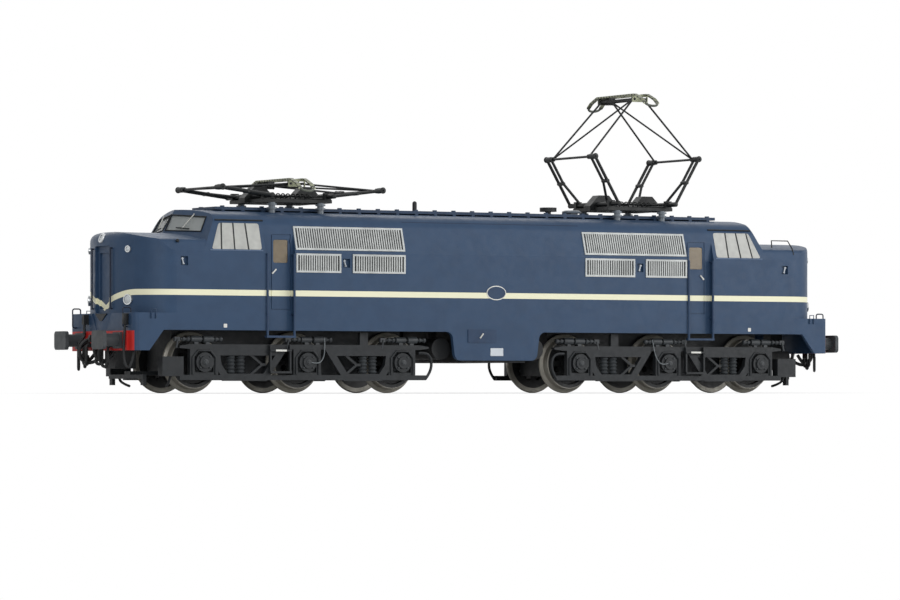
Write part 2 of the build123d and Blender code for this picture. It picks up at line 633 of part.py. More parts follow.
# Roof walkway, fittings and insulators
WALK_HALF = 6.0
WALK_REACH = 71.0
WALK_THICK = 0.7
WALK_TOP = ROOF_HEIGHT + 0.75
WALK_PITCH = 5.3
CLAMP = 0.8
solid_body = envelope(0, 0, BODY_BOTTOM)
roof_walkway = block(-WALK_REACH, WALK_REACH, -WALK_HALF, WALK_HALF, WALK_TOP - WALK_THICK, WALK_TOP)
for index in range(-13, 14):
    middle = index * WALK_PITCH
    clamp = (middle - CLAMP / 2, middle + CLAMP / 2)
    rib = block(*clamp, -WALK_HALF, WALK_HALF, ROOF_HEIGHT - 1.2, WALK_TOP - 0.2)
    roof_walkway += rib - solid_body
    for hand in (-1, 1):
        edge = hand * (WALK_HALF - 0.5)
        roof_walkway += block(*clamp, edge - 0.4, edge + 0.4, WALK_TOP - 0.2, WALK_TOP + 0.3)
DRUM_X = 23.7
HORN_X = -15.5
drum = Pos(DRUM_X, -2.5, WALK_TOP + 1.2) * Cylinder(2.1, 1.0)
drum += rod((DRUM_X, -2.5, WALK_TOP), (DRUM_X, -2.5, WALK_TOP + 1), 0.7)
horn = rod((HORN_X, -4.2, WALK_TOP), (HORN_X, -4.2, WALK_TOP + 1.9), 0.55)
horn += Pos(HORN_X, -4.2, WALK_TOP + 1.9) * Sphere(0.55)
roof_fittings = all_solids([drum, horn])


# Pantographs, drawn about x = 0 and moved into place
def panto_angles(lower):
    """Angles of the upper arm in degrees for an exact linkage."""
    knee = BASE_HALF + LOWER_LENGTH * cos(radians(lower))
    return degrees(atan2(sqrt(UPPER_LENGTH ** 2 - (knee - HEAD_HALF) ** 2), knee - HEAD_HALF))


FOLDED_KNEE = BASE_HALF + LOWER_LENGTH * cos(radians(FOLDED_LOWER))
UPPER_LENGTH = sqrt((FOLDED_KNEE - HEAD_HALF) ** 2 + UPPER_RISE ** 2)


def lower_arm(hand, angle):
    """Lower arm frame on the side given by hand, at an angle above level."""
    pivot = Vector(hand * BASE_HALF, 0, BASE_HEIGHT)
    knee = pivot + Vector(hand * LOWER_LENGTH * cos(radians(angle)), 0, LOWER_LENGTH * sin(radians(angle)))
    shape = rod((pivot.X, -KNEE_HALF, pivot.Z), (pivot.X, KNEE_HALF, pivot.Z), 0.55)
    shape += rod((knee.X, -KNEE_HALF - 0.4, knee.Z), (knee.X, KNEE_HALF + 0.4, knee.Z), PIN_RADIUS)
    middle = pivot + (knee - pivot) * 0.48
    for side in (-1, 1):
        outer = side * (KNEE_HALF - 0.2)
        inner = side * (KNEE_HALF - 1.4)
        shape += rod((pivot.X, outer, pivot.Z), (knee.X, outer, knee.Z), TUBE)
        shape += rod((middle.X, inner, middle.Z), (knee.X, inner, knee.Z), TUBE * 0.9)
        shape += rod((pivot.X, side * (KNEE_HALF - 2.0), pivot.Z), (middle.X, inner, middle.Z), TUBE * 0.85)
        clip = (middle.X, inner - side * 0.4, middle.Z)
        shape += rod((middle.X, outer + side * 0.5, middle.Z), clip, TUBE + 0.12)
        eye = (knee.X, side * (KNEE_HALF + 0.3), knee.Z)
        shape += rod((knee.X, side * (KNEE_HALF - 1.8), knee.Z), eye, EYE_RADIUS)
    return shape, pivot, knee


def upper_arm(hand, knee, angle, diagonal):
    """Upper arm frame from the knee to its top pin."""
    top = knee + Vector(-hand * UPPER_LENGTH * cos(radians(angle)), 0, UPPER_LENGTH * sin(radians(angle)))
    shape = rod((top.X, -TOP_HALF - 0.9, top.Z), (top.X, TOP_HALF + 0.9, top.Z), PIN_RADIUS)
    inner = KNEE_HALF - 2.3
    for side in (-1, 1):
        shape += rod((knee.X, side * inner - 0.35, knee.Z), (knee.X, side * inner + 0.35, knee.Z), EYE_RADIUS)
        shape += rod((knee.X, side * inner, knee.Z), (top.X, side * TOP_HALF, top.Z), THIN)
    shape += rod((knee.X, diagonal * inner, knee.Z), (top.X, -diagonal * TOP_HALF, top.Z), THIN * 0.9)
    shape -= rod((knee.X, -20, knee.Z), (knee.X, 20, knee.Z), PIN_RADIUS + PIN_CLEARANCE)
    return shape, top


def panto_head(top):
    """Head with two contact strips and down-turned horns, carried on the pin of the first upper arm."""
    level = top.Z + 0.9
    bow = [
        (-BOW_HALF, level - BOW_DROP), (-BOW_HALF + 1.4, level - BOW_DROP * 0.55),
        (-BOW_FLAT - 1.2, level - 0.45), (-BOW_FLAT, level), (BOW_FLAT, level), (BOW_FLAT + 1.2, level - 0.45),
        (BOW_HALF - 1.4, level - BOW_DROP * 0.55), (BOW_HALF, level - BOW_DROP),
    ]
    outline = bow + [(y, z + 0.4) for y, z in reversed(bow)]
    face = polygon(*outline)
    shape = along_x(face, -2.3, -1.3) + along_x(face, 1.3, 2.3)
    for side in (-1, 1):
        plate_span = sorted((side * (TOP_HALF + 0.3), side * (TOP_HALF + 0.8)))
        plate = block(-2.3, 2.3, *plate_span, top.Z - 0.75, level + 0.2)
        shape += plate
        shape += block(-2.3, 2.3, side * 2.6 - 0.3, side * 2.6 + 0.3, level + 0.02, level + 0.3)
    reach = TOP_HALF + 1.0
    shape -= rod((-HEAD_HALF, -reach, top.Z), (-HEAD_HALF, reach, top.Z), PIN_RADIUS + PIN_CLEARANCE)
    slot = block(HEAD_HALF - 0.9, HEAD_HALF + 0.5, -reach, reach, top.Z - 0.8, top.Z + PIN_RADIUS + 0.25)
    shape -= slot
    return shape


def panto_base():
    """Fixed base frame on four insulator seats, with bearings for the lower arms."""
    low = BASE_HEIGHT - 1.6
    shape = block(-9.5, 9.5, -BASE_SIDE - 0.5, -BASE_SIDE + 0.5, low, low + 0.8)
    shape += block(-9.5, 9.5, BASE_SIDE - 0.5, BASE_SIDE + 0.5, low, low + 0.8)
    for place in (-9.0, 0, 9.0):
        shape += block(place - 0.5, place + 0.5, -BASE_SIDE, BASE_SIDE, low, low + 0.8)
    for hand in (-1, 1):
        for side in (-1, 1):
            shape += block(
                hand * BASE_HALF - 0.9, hand * BASE_HALF + 0.9, side * BASE_SIDE - 0.5, side * BASE_SIDE + 0.5,
                low, BASE_HEIGHT + 0.9,
            )
        cover = polygon(
            (hand * 2.4, low), (hand * 10.6, low), (hand * 10.6, BASE_HEIGHT - 0.4), (hand * 7.9, COVER_TOP),
            (hand * 5.0, COVER_TOP), (hand * 2.4, BASE_HEIGHT - 0.4),
        )
        shape += along_y(cover, -COVER_HALF, COVER_HALF)
        pivot = hand * BASE_HALF
        shape -= rod((pivot, -20, BASE_HEIGHT), (pivot, 20, BASE_HEIGHT), 0.55 + PIN_CLEARANCE)
    return shape


nodes = {}
for letter, lower in (("a", FOLDED_LOWER), ("b", RAISED_LOWER)):
    place = Pos(PANTO_X[letter], 0, 0)
    upper = panto_angles(lower)
    tops = {}
    for name, hand in (("first", -1), ("second", 1)):
        arm, pivot, knee = lower_arm(hand, lower)
        forearm, top = upper_arm(hand, knee, upper, -hand)
        nodes[f"panto_{letter}_lower_{name}"] = place * arm
        nodes[f"panto_{letter}_upper_{name}"] = place * forearm
        tops[name] = top
    nodes[f"panto_{letter}_head"] = place * panto_head(tops["first"])
    nodes[f"panto_{letter}_base"] = place * panto_base()

insulators = []
INSULATOR_TOP = BASE_HEIGHT - 1.6
INSULATOR_X = 6.6
for middle in PANTO_X.values():
    for x_off in (-INSULATOR_X, INSULATOR_X):
        for side in (-BASE_SIDE, BASE_SIDE):
            post = Pos(middle + x_off, side, INSULATOR_TOP) * Cylinder(
                0.8, 6, align=(Align.CENTER, Align.CENTER, Align.MAX)
            )
            for ring in (0.5, 1.4):
                post += Pos(middle + x_off, side, INSULATOR_TOP - ring) * Cylinder(1.2, 0.4)
            insulators.append(post)
solid_roof = solid_body + roof_walkway
roof_insulators = all_solids([item - solid_roof for item in insulators])


# Bogies, made for end b
def wheelset(x_place):
    """Two wheels on one axle."""
    back = BACK_TO_BACK / 2
    face = back + WHEEL_WIDTH
    profile = polygon(
        (0, 0), (AXLE_RADIUS, 0), (AXLE_RADIUS, back - 0.3), (1.8, back - 0.3), (1.8, back),
        (FLANGE_RADIUS - 0.25, back), (FLANGE_RADIUS, back + 0.3), (FLANGE_RADIUS - 0.15, back + 0.55),
        (TREAD_RADIUS + 0.05, back + FLANGE_WIDTH), (TREAD_RADIUS, face - 0.15), (TREAD_RADIUS - 0.15, face),
        (5.2, face), (5.0, face - 0.7), (2.0, face - 0.7), (1.8, face), (0, face),
    )
    half = revolve(Plane.XY * profile, axis=Axis.Y)
    for index in range(8):
        angle = radians(45 * index + 22.5)
        hole = rod((3.6 * cos(angle), 0, 3.6 * sin(angle)), (3.6 * cos(angle), 20, 3.6 * sin(angle)), 0.8)
        half -= hole & block(-10, 10, back - 0.1, 20, -10, 10)
    return Pos(x_place, 0, AXLE_HEIGHT) * (half + flip(half))


BAND = 1.7
AXLES_LOCAL = {name: place - PIVOT for name, place in AXLE_PLACES.items()}
FRAME_REAR = AXLES_LOCAL["inner"] - 7.4
FRAME_FRONT = AXLES_LOCAL["outer"] + 6.4
# Each span runs from its end axle towards the middle one; lengths are measured from those axles.
SPAN_TABLE = (
    {
        "axle": "inner", "toward": 1, "mouth": 2.4, "bilge": 5.4, "tail": 10.1, "end": 4.7,
        "springs": (7.6, 10.2), "bracket": (11.8, 15.8),
    },
    {
        "axle": "outer", "toward": -1, "mouth": 2.3, "bilge": 5.4, "tail": 10.9, "end": 5.3,
        "springs": (7.5, 10.1), "bracket": (16.0, 12.0),
    },
)
BARRELS = {"inner": -1.4, "middle": -1.5, "outer": 0.4}
LADDER_START = 4.7
LADDER_WIDE = 5.7
BLOCK_OVERHANG = 4.3
GUARD_OVERHANG = 12.6
SANDBOX_LONG = 5.5
POST_PLACE = 10.3
FRAME_FACE = FRAME_INNER + FRAME_THICK
HORN_HALF = 3.7
ARCH_HALF = 2.45
ARCH_LOW = RAIL + 3.9
ARCH_HIGH = RAIL + 8.8
ARCH_ROUND = 1.5
WINDOW_BASE = FRAME_LOW + BAND
WINDOW_HEAD = BEAM_LOW + 0.2 - BAND


def rectangle(x_low, x_high, z_low, z_high):
    """Make a rectangle from its limits."""
    return Pos((x_low + x_high) / 2, (z_low + z_high) / 2) * Rectangle(x_high - x_low, z_high - z_low)


def side_frame(heading):
    """Near side frame of bogie b with axleboxes, x from the pivot; the brackets point along heading."""
    face = polygon(
        (FRAME_REAR, BEAM_LOW + 0.3), (FRAME_REAR + 2.4, BEAM_LOW), (FRAME_FRONT - 2.5, BEAM_LOW),
        (FRAME_FRONT, BEAM_LOW + 0.2), (FRAME_FRONT, FRAME_HIGH - 0.4), (FRAME_FRONT - 2.5, FRAME_HIGH),
        (FRAME_REAR + 2.4, FRAME_HIGH), (FRAME_REAR, FRAME_HIGH - 0.4),
    )
    face += rectangle(FRAME_REAR + 0.7, FRAME_FRONT, RAIL + 2.1, RAIL + 3.3)
    for span in SPAN_TABLE:
        axle = AXLES_LOCAL[span["axle"]]
        middle = AXLES_LOCAL["middle"]
        toward = span["toward"]
        boat = polygon(
            (axle + toward * span["mouth"], BEAM_LOW + 0.2),
            (axle + toward * (span["mouth"] + 0.7), RAIL + 5.0),
            (axle + toward * span["bilge"], FRAME_LOW), (middle - toward * span["tail"], FRAME_LOW),
            (middle - toward * span["end"], BEAM_LOW + 0.2),
        )
        window = offset(boat, -BAND, kind=Kind.INTERSECTION)
        face += boat
        face -= window
    for axle in AXLES_LOCAL.values():
        face += rectangle(axle - HORN_HALF, axle + HORN_HALF, RAIL + 2.8, BEAM_LOW + 0.2)
        arch = rectangle(axle - ARCH_HALF, axle + ARCH_HALF, ARCH_LOW, ARCH_HIGH)
        crown = [v for v in arch.vertices() if v.Y > ARCH_HIGH - 0.1]
        face -= fillet(crown, ARCH_ROUND)
    frame = along_y(face, -FRAME_FACE, -FRAME_INNER)
    for axle in AXLES_LOCAL.values():
        back = rectangle(axle - HORN_HALF + 0.4, axle + HORN_HALF - 0.4, ARCH_LOW - 0.4, ARCH_HIGH + 0.3)
        frame += along_y(back, -FRAME_INNER - 0.5, -FRAME_INNER)
        frame += block(
            axle - 2.0, axle + 2.0, -FRAME_FACE + 0.3, -FRAME_INNER - 0.3, ARCH_LOW + 0.5, ARCH_HIGH - 0.9
        )
        lid = (axle, -FRAME_FACE - 0.4, AXLE_HEIGHT)
        frame += rod((axle, -FRAME_FACE + 0.4, AXLE_HEIGHT), (axle, -FRAME_FACE - 0.5, AXLE_HEIGHT), BOX_RADIUS)
        frame += rod(lid, (axle, -FRAME_FACE - 0.9, AXLE_HEIGHT), BOX_RADIUS * 0.62)
    for span in SPAN_TABLE:
        axle = AXLES_LOCAL[span["axle"]]
        foot, tip = [axle + span["toward"] * place for place in span["bracket"]][::heading]
        middle = (WINDOW_BASE + WINDOW_HEAD) / 2
        for edge in (WINDOW_BASE - 0.2, WINDOW_HEAD + 0.2):
            slant = 0.55 if edge < middle else -0.55
            bar = polygon(
                (foot, edge), (foot + heading * 0.9, edge), (tip, middle), (tip - heading * 0.8, middle + slant * 0.2)
            )
            frame += along_y(bar, -FRAME_INNER - 1.1, -FRAME_INNER - 0.4)
        nose_span = sorted((tip - heading * 1.1, tip + heading * 0.5))
        frame += block(*nose_span, -FRAME_INNER - 1.2, -FRAME_INNER - 0.4, middle - 0.3, middle + 0.3)
    frame += block(
        FRAME_FRONT - 1.0, FRAME_FRONT - 1.0 + SANDBOX_LONG, -FRAME_FACE, -FRAME_FACE + 2.4,
        RAIL + 3.0, RAIL + 7.6,
    )
    post = AXLES_LOCAL["inner"] + POST_PLACE
    frame += block(post - 1.1, post + 1.1, -FRAME_INNER - 1.1, -FRAME_INNER, FRAME_HIGH - 0.2, RAIL + 13.5)
    return frame


def springs():
    """Coil springs of the near side of bogie b, x from the pivot."""
    found = []
    turns = 5
    step = (WINDOW_HEAD - WINDOW_BASE) / turns
    for span in SPAN_TABLE:
        axle = AXLES_LOCAL[span["axle"]]
        for place in span["springs"]:
            points = [(0, WINDOW_BASE)]
            for index in range(turns):
                points += [
                    (SPRING_RADIUS - 0.35, WINDOW_BASE + index * step),
                    (SPRING_RADIUS, WINDOW_BASE + (index + 0.5) * step),
                ]
            points += [(SPRING_RADIUS - 0.35, WINDOW_HEAD), (0, WINDOW_HEAD)]
            coil = revolve(Plane.XZ * polygon(*points), axis=Axis.Z)
            found.append(Pos(axle + span["toward"] * place, -FRAME_FACE + SPRING_RADIUS, 0) * coil)
    return found


def brake_gear():
    """Brake cylinders with rods on the near side of bogie b, x from the pivot."""
    found = []
    middle = -FRAME_INNER - FRAME_THICK / 2
    for name, shift in BARRELS.items():
        place = AXLES_LOCAL[name] + shift
        unit = rod((place - 2.9, middle, BRAKE_HEIGHT), (place - 0.4, middle, BRAKE_HEIGHT), 0.85)
        unit += rod((place + 0.2, middle, BRAKE_HEIGHT), (place + 2.9, middle, BRAKE_HEIGHT), 0.75)
        unit += rod((place - 5.4, middle, BRAKE_HEIGHT), (place + 6.6, middle, BRAKE_HEIGHT), 0.28)
        unit += block(place - 2.0, place - 1.0, middle - 0.4, middle + 0.4, FRAME_HIGH, BRAKE_HEIGHT)
        unit += block(place + 1.0, place + 2.0, middle - 0.4, middle + 0.4, FRAME_HIGH, BRAKE_HEIGHT)
        clevis = (BRAKE_HEIGHT - 0.5, BRAKE_HEIGHT + 0.5)
        unit += block(place + 5.8, place + 7.2, middle - 0.45, middle + 0.45, *clevis)
        found.append(unit)
    return found


def ladder():
    """Cab steps on the near side of bogie b, x from the pivot."""
    low = AXLES_LOCAL["middle"] + LADDER_START
    high = low + LADDER_WIDE
    shape = block(low, high, -FRAME_FACE - 1.1, -FRAME_FACE, RAIL + 8.9, RAIL + 9.3)
    shape += block(low, high, -FRAME_FACE - 1.1, -FRAME_FACE, RAIL + 3.7, RAIL + 4.2)
    for place in (low, high - 0.45):
        shape += block(place, place + 0.45, -FRAME_FACE - 0.8, -FRAME_FACE, RAIL + 3.7, FRAME_HIGH - 0.1)
    return shape


block_rear = AXLES_LOCAL["inner"] - BLOCK_OVERHANG
block_front = AXLES_LOCAL["outer"] + BLOCK_OVERHANG
centre = block(block_rear, block_front, -BLOCK_HALF, BLOCK_HALF, BLOCK_LOW, BLOCK_HIGH)
for axle in AXLES_LOCAL.values():
    centre -= rod((axle, -20, AXLE_HEIGHT), (axle, 20, AXLE_HEIGHT), AXLE_RADIUS + AXLE_CLEARANCE)
for name in ("inner", "outer"):
    bar = (AXLES_LOCAL[name] + AXLES_LOCAL["middle"]) / 2
    centre += block(bar - 1.5, bar + 1.5, -FRAME_INNER, FRAME_INNER, BEAM_LOW, FRAME_HIGH)
centre += rod((0, 0, BLOCK_HIGH - 0.5), (0, 0, FLOOR_LOW + FLOOR_THICK), PIVOT_RADIUS)
GUARD_PLACE = AXLES_LOCAL["outer"] + GUARD_OVERHANG
guard = block(block_front - 0.1, GUARD_PLACE, -1.5, 1.5, RAIL + 3.3, RAIL + 4.2)
guard += block(GUARD_PLACE - 0.5, GUARD_PLACE + 0.5, -9.0, 9.0, RAIL + 2.4, RAIL + 3.4)
for hand in (-1, 1):
    iron = hand * 8.25
    guard += block(GUARD_PLACE - 0.5, GUARD_PLACE + 0.3, iron - 0.75, iron + 0.75, RAIL + 0.9, RAIL + 3.4)
guard -= centre

for letter, end in (("a", -1), ("b", 1)):
    seat = Pos(PIVOT, 0, 0)
    move = (lambda shape: shape) if end > 0 else turn
    nodes[f"bogie_{letter}_frame"] = move(seat * centre)
    nodes[f"bogie_{letter}_guard"] = move(seat * guard)
    nodes[f"bogie_{letter}_sides"] = move(all_solids([seat * side_frame(1), seat * flip(side_frame(-1))]))
    nodes[f"bogie_{letter}_steps"] = move(all_solids([seat * item for item in both_sides(ladder())]))
    coils = [item for coil in springs() for item in both_sides(coil)]
    nodes[f"bogie_{letter}_springs"] = move(all_solids([seat * item for item in coils]))
    gear = [item for unit in brake_gear() for item in both_sides(unit)]
    nodes[f"bogie_{letter}_brakes"] = move(all_solids([seat * item for item in gear]))
    for name, x_place in AXLE_PLACES.items():
        nodes[f"wheelset_{letter}_{name}"] = wheelset(end * x_place)

nodes["body_shell"] = shell
nodes["grilles_near"] = grilles_near
nodes["grilles_far"] = grilles_far
nodes["handrails_near"] = handrails_near
nodes["handrails_far"] = handrails_far
nodes["chassis"] = chassis
nodes["drive_block"] = drive_block
nodes["air_tanks"] = air_tanks
nodes["roof_walkway"] = roof_walkway
nodes["roof_fittings"] = roof_fittings
nodes["roof_insulators"] = roof_insulators
for name, shape in (
    ("cab_glazing", cab_glazing_b), ("cab_interior", cab_interior_b), ("lamps", lamps_b),
    ("buffer_beam", buffer_beam_b), ("buffers", buffers_b), ("coupling", coupling_b), ("hoses", hoses_b),
    ("end_rails", end_rails_b),
):
    nodes[f"{name}_b"] = shape
    nodes[f"{name}_a"] = turn(shape)

for name, shape in nodes.items():
    export_step(shape, f"parts/{name}.step")
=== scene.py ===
"""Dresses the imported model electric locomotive: paints, glass, small fittings, studio and camera."""

from __future__ import annotations

import json
import logging
import math
from dataclasses import dataclass, field
from enum import Enum
from typing import Any, Iterable, Sequence

import bpy
from mathutils import Matrix, Vector

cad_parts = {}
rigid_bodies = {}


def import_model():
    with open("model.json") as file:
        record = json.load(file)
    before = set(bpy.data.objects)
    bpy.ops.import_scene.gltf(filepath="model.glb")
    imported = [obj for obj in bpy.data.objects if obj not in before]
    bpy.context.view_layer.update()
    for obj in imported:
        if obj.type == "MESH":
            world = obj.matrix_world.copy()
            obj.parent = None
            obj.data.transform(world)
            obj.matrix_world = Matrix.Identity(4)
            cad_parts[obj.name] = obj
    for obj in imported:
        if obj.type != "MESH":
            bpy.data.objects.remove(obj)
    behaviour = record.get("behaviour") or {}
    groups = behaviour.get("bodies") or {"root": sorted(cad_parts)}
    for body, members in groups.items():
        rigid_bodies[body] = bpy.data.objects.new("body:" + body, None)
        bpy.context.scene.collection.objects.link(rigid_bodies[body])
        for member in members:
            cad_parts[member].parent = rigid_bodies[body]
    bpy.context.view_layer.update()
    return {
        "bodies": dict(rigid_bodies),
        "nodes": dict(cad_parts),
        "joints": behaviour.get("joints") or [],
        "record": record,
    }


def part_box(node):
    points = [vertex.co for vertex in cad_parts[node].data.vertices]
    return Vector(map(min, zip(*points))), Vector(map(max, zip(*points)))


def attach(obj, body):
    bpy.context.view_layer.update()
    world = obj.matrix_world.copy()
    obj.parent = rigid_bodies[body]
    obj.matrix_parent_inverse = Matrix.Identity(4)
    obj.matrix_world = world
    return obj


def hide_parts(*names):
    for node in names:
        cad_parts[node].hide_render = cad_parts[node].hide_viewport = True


LOG = logging.getLogger("scene")
MM = 0.001
# Height of the wheel treads above the floor
TREAD = 1.0
Pair = tuple[float, float]
Point = tuple[float, float, float]
Sizes = tuple[float, float, float]
Colour = tuple[float, float, float]
Limits = tuple[float, float, float, float]
NEARWARD: Point = (0.0, -1.0, 0.0)
FARWARD: Point = (0.0, 1.0, 0.0)
FORWARD: Point = (1.0, 0.0, 0.0)
UPWARD: Point = (0.0, 0.0, 1.0)


def srgb(red: int, green: int, blue: int) -> Colour:
    """Turn a display colour into the linear colour that a shader takes.

    Args:
        red: Red from 0 to 255.
        green: Green from 0 to 255.
        blue: Blue from 0 to 255.

    Returns:
        The linear colour.
    """
    values = []
    for part in (red, green, blue):
        share = part / 255
        values.append(share / 12.92 if share <= 0.04045 else ((share + 0.055) / 1.055) ** 2.4)
    return values[0], values[1], values[2]


def near_rectangle(limits: Limits, side: float) -> tuple[Point, ...]:
    """Corners of an upright rectangle, anticlockwise seen from the near side.

    Args:
        limits: Limits along the length and in height.
        side: Place across.

    Returns:
        The corners.
    """
    left, right, low, high = limits
    return (left, side, low), (right, side, low), (right, side, high), (left, side, high)


class End(Enum):
    """The two ends of the locomotive, by the sign of x."""

    A = -1
    B = 1

    @property
    def letter(self) -> str:
        """Letter that the nodes of this end carry."""
        return self.name.lower()


class Side(Enum):
    """The two sides of the locomotive, by the sign of y."""

    NEAR = -1
    FAR = 1


class Ops(Enum):
    """Shader arithmetic used by the finishes."""

    ADD = "ADD"
    SUBTRACT = "SUBTRACT"
    MULTIPLY = "MULTIPLY"
    POWER = "POWER"
    LESS = "LESS_THAN"
    GREATER = "GREATER_THAN"
    ABSOLUTE = "ABSOLUTE"
    MAXIMUM = "MAXIMUM"
    PING_PONG = "PINGPONG"
    SQRT = "SQRT"


class Graph:
    """A material's node tree with short calls for the nodes that the finishes use."""

    def __init__(self, name: str) -> None:
        """Start an empty material.

        Args:
            name: Name of the material.
        """
        self.material = bpy.data.materials.new(name)
        self.material.use_nodes = True
        self.tree = self.material.node_tree
        self.tree.nodes.clear()
        coordinates = self.tree.nodes.new("ShaderNodeTexCoord")
        scale = self.tree.nodes.new("ShaderNodeVectorMath")
        scale.operation = "SCALE"
        scale.inputs["Scale"].default_value = 1 / MM
        self.link(coordinates.outputs["Object"], scale.inputs[0])
        self.millimetres = scale.outputs[0]
        split = self.tree.nodes.new("ShaderNodeSeparateXYZ")
        self.link(self.millimetres, split.inputs[0])
        self.x, self.y, self.z = split.outputs

    def link(self, source: Any, target: Any) -> None:
        """Join an output to an input."""
        self.tree.links.new(source, target)

    def feed(self, socket: Any, value: Any) -> None:
        """Set an input to a value, or link it where the value is an output.

        Args:
            socket: Input of a node.
            value: Number, colour or output.
        """
        if isinstance(value, bpy.types.NodeSocket):
            self.link(value, socket)
        else:
            socket.default_value = value

    def math(self, op: Ops, first: Any, second: Any = 0.0) -> Any:
        """Add a Math node.

        Args:
            op: Operation of the node.
            first: Number or output.
            second: Number or output.

        Returns:
            The node's output.
        """
        node = self.tree.nodes.new("ShaderNodeMath")
        node.operation = op.value
        self.feed(node.inputs[0], first)
        self.feed(node.inputs[1], second)
        return node.outputs[0]

    def between(self, value: Any, low: float, high: float) -> Any:
        """Give 1 where an output lies between two numbers, else 0.

        Args:
            value: The output.
            low: Lower number.
            high: Higher number.

        Returns:
            Output that is 1 or 0.
        """
        above = self.math(Ops.GREATER, value, low)
        below = self.math(Ops.LESS, value, high)
        return self.math(Ops.MULTIPLY, above, below)

    def square_sum(self, first: Any, second: Any) -> Any:
        """Add the squares of two outputs.

        Args:
            first: An output.
            second: Another output.

        Returns:
            Output that holds the sum.
        """
        squares = (self.math(Ops.MULTIPLY, value, value) for value in (first, second))
        return self.math(Ops.ADD, *squares)

    def ramp(self, value: Any, low: float, high: float, to_low: float, to_high: float) -> Any:
        """Map a range of an output to another range, smoothly and clamped.

        Args:
            value: The output.
            low: Start of its range.
            high: End of its range.
            to_low: Result at the start.
            to_high: Result at the end.

        Returns:
            Output that holds the result.
        """
        node = self.tree.nodes.new("ShaderNodeMapRange")
        node.interpolation_type = "SMOOTHSTEP"
        for index, number in enumerate((low, high, to_low, to_high), start=1):
            node.inputs[index].default_value = number
        self.feed(node.inputs[0], value)
        return node.outputs[0]

    def noise(self, scale: float, detail: float) -> Any:
        """Add a noise in object millimetres.

        Args:
            scale: Waves per millimetre.
            detail: Octaves of the noise.

        Returns:
            The noise value.
        """
        node = self.tree.nodes.new("ShaderNodeTexNoise")
        node.inputs["Scale"].default_value = scale
        node.inputs["Detail"].default_value = detail
        self.link(self.millimetres, node.inputs["Vector"])
        return node.outputs["Fac"]

    def mix(self, share: Any, first: Any, second: Any) -> Any:
        """Mix two colours.

        Args:
            share: Share of the second colour, from 0 to 1.
            first: Colour or output.
            second: Colour or output.

        Returns:
            Output that holds the mixed colour.
        """
        node = self.tree.nodes.new("ShaderNodeMix")
        node.data_type = "RGBA"
        self.feed(node.inputs["Factor"], share)
        for key, value in (("A", first), ("B", second)):
            socket = [item for item in node.inputs if item.name == key and item.type == "RGBA"][0]
            self.feed(socket, (*value, 1.0) if isinstance(value, tuple) else value)
        return [item for item in node.outputs if item.type == "RGBA"][0]

    def bump(self, height: Any, strength: float, distance: float) -> Any:
        """Turn a height into a normal.

        Args:
            height: Output that holds the height.
            strength: Strength of the bumps, from 0 to 1.
            distance: Height of the bumps in millimetres.

        Returns:
            Output that holds the normal.
        """
        node = self.tree.nodes.new("ShaderNodeBump")
        node.inputs["Strength"].default_value = strength
        node.inputs["Distance"].default_value = distance * MM
        self.link(height, node.inputs["Height"])
        return node.outputs[0]

    def close(self, **sockets: Any) -> bpy.types.Material:
        """Finish with a Principled shader.

        Args:
            **sockets: Shader inputs by name, with underscores for spaces.

        Returns:
            The material.
        """
        shader = self.tree.nodes.new("ShaderNodeBsdfPrincipled")
        output = self.tree.nodes.new("ShaderNodeOutputMaterial")
        for key, value in sockets.items():
            socket = shader.inputs[key.replace("_", " ")]
            self.feed(socket, (*value, 1.0) if isinstance(value, tuple) and len(value) == 3 else value)
        self.link(shader.outputs[0], output.inputs["Surface"])
        return self.material


@dataclass(frozen=True)
class Finish:
    """A moulded or painted surface with fine grain and uneven gloss."""

    name: str
    colour: Colour
    shade: Colour
    roughness: float
    metallic: float = 0.0
    coat: float = 0.0
    specular: float = 0.5
    grain: float = 2.2
    relief: float = 0.012
    cloud_scale: float = 0.12
    cloud_detail: float = 4.0
    cloud_range: Pair = (0.35, 0.7)
    gloss_scale: float = 0.3
    gloss_detail: float = 3.0
    gloss_range: Pair = (0.3, 0.7)
    gloss_drop: float = 0.05
    gloss_rise: float = 0.06
    coat_roughness: float = 0.25
    fine_detail: float = 2.0
    bumps: float = 0.35

    def paint(self, graph: Graph) -> Any:
        """Colour of the surface.

        Args:
            graph: Node tree that the colour is built in.

        Returns:
            Output that holds the colour.
        """
        noise = graph.noise(self.grain * self.cloud_scale, self.cloud_detail)
        clouds = graph.ramp(noise, *self.cloud_range, 0.0, 1.0)
        return graph.mix(clouds, self.colour, self.shade)

    def build(self) -> bpy.types.Material:
        """Make the material.

        Returns:
            The material.
        """
        graph = Graph(self.name)
        fine = graph.noise(self.grain, self.fine_detail)
        patches = graph.noise(self.grain * self.gloss_scale, self.gloss_detail)
        smooth = self.roughness - self.gloss_drop
        dull = self.roughness + self.gloss_rise
        gloss = graph.ramp(patches, *self.gloss_range, smooth, dull)
        return graph.close(
            Base_Color=self.paint(graph),
            Roughness=gloss,
            Metallic=self.metallic,
            Specular_IOR_Level=self.specular,
            Coat_Weight=self.coat,
            Coat_Roughness=self.coat_roughness,
            Normal=graph.bump(fine, self.bumps, self.relief),
        )


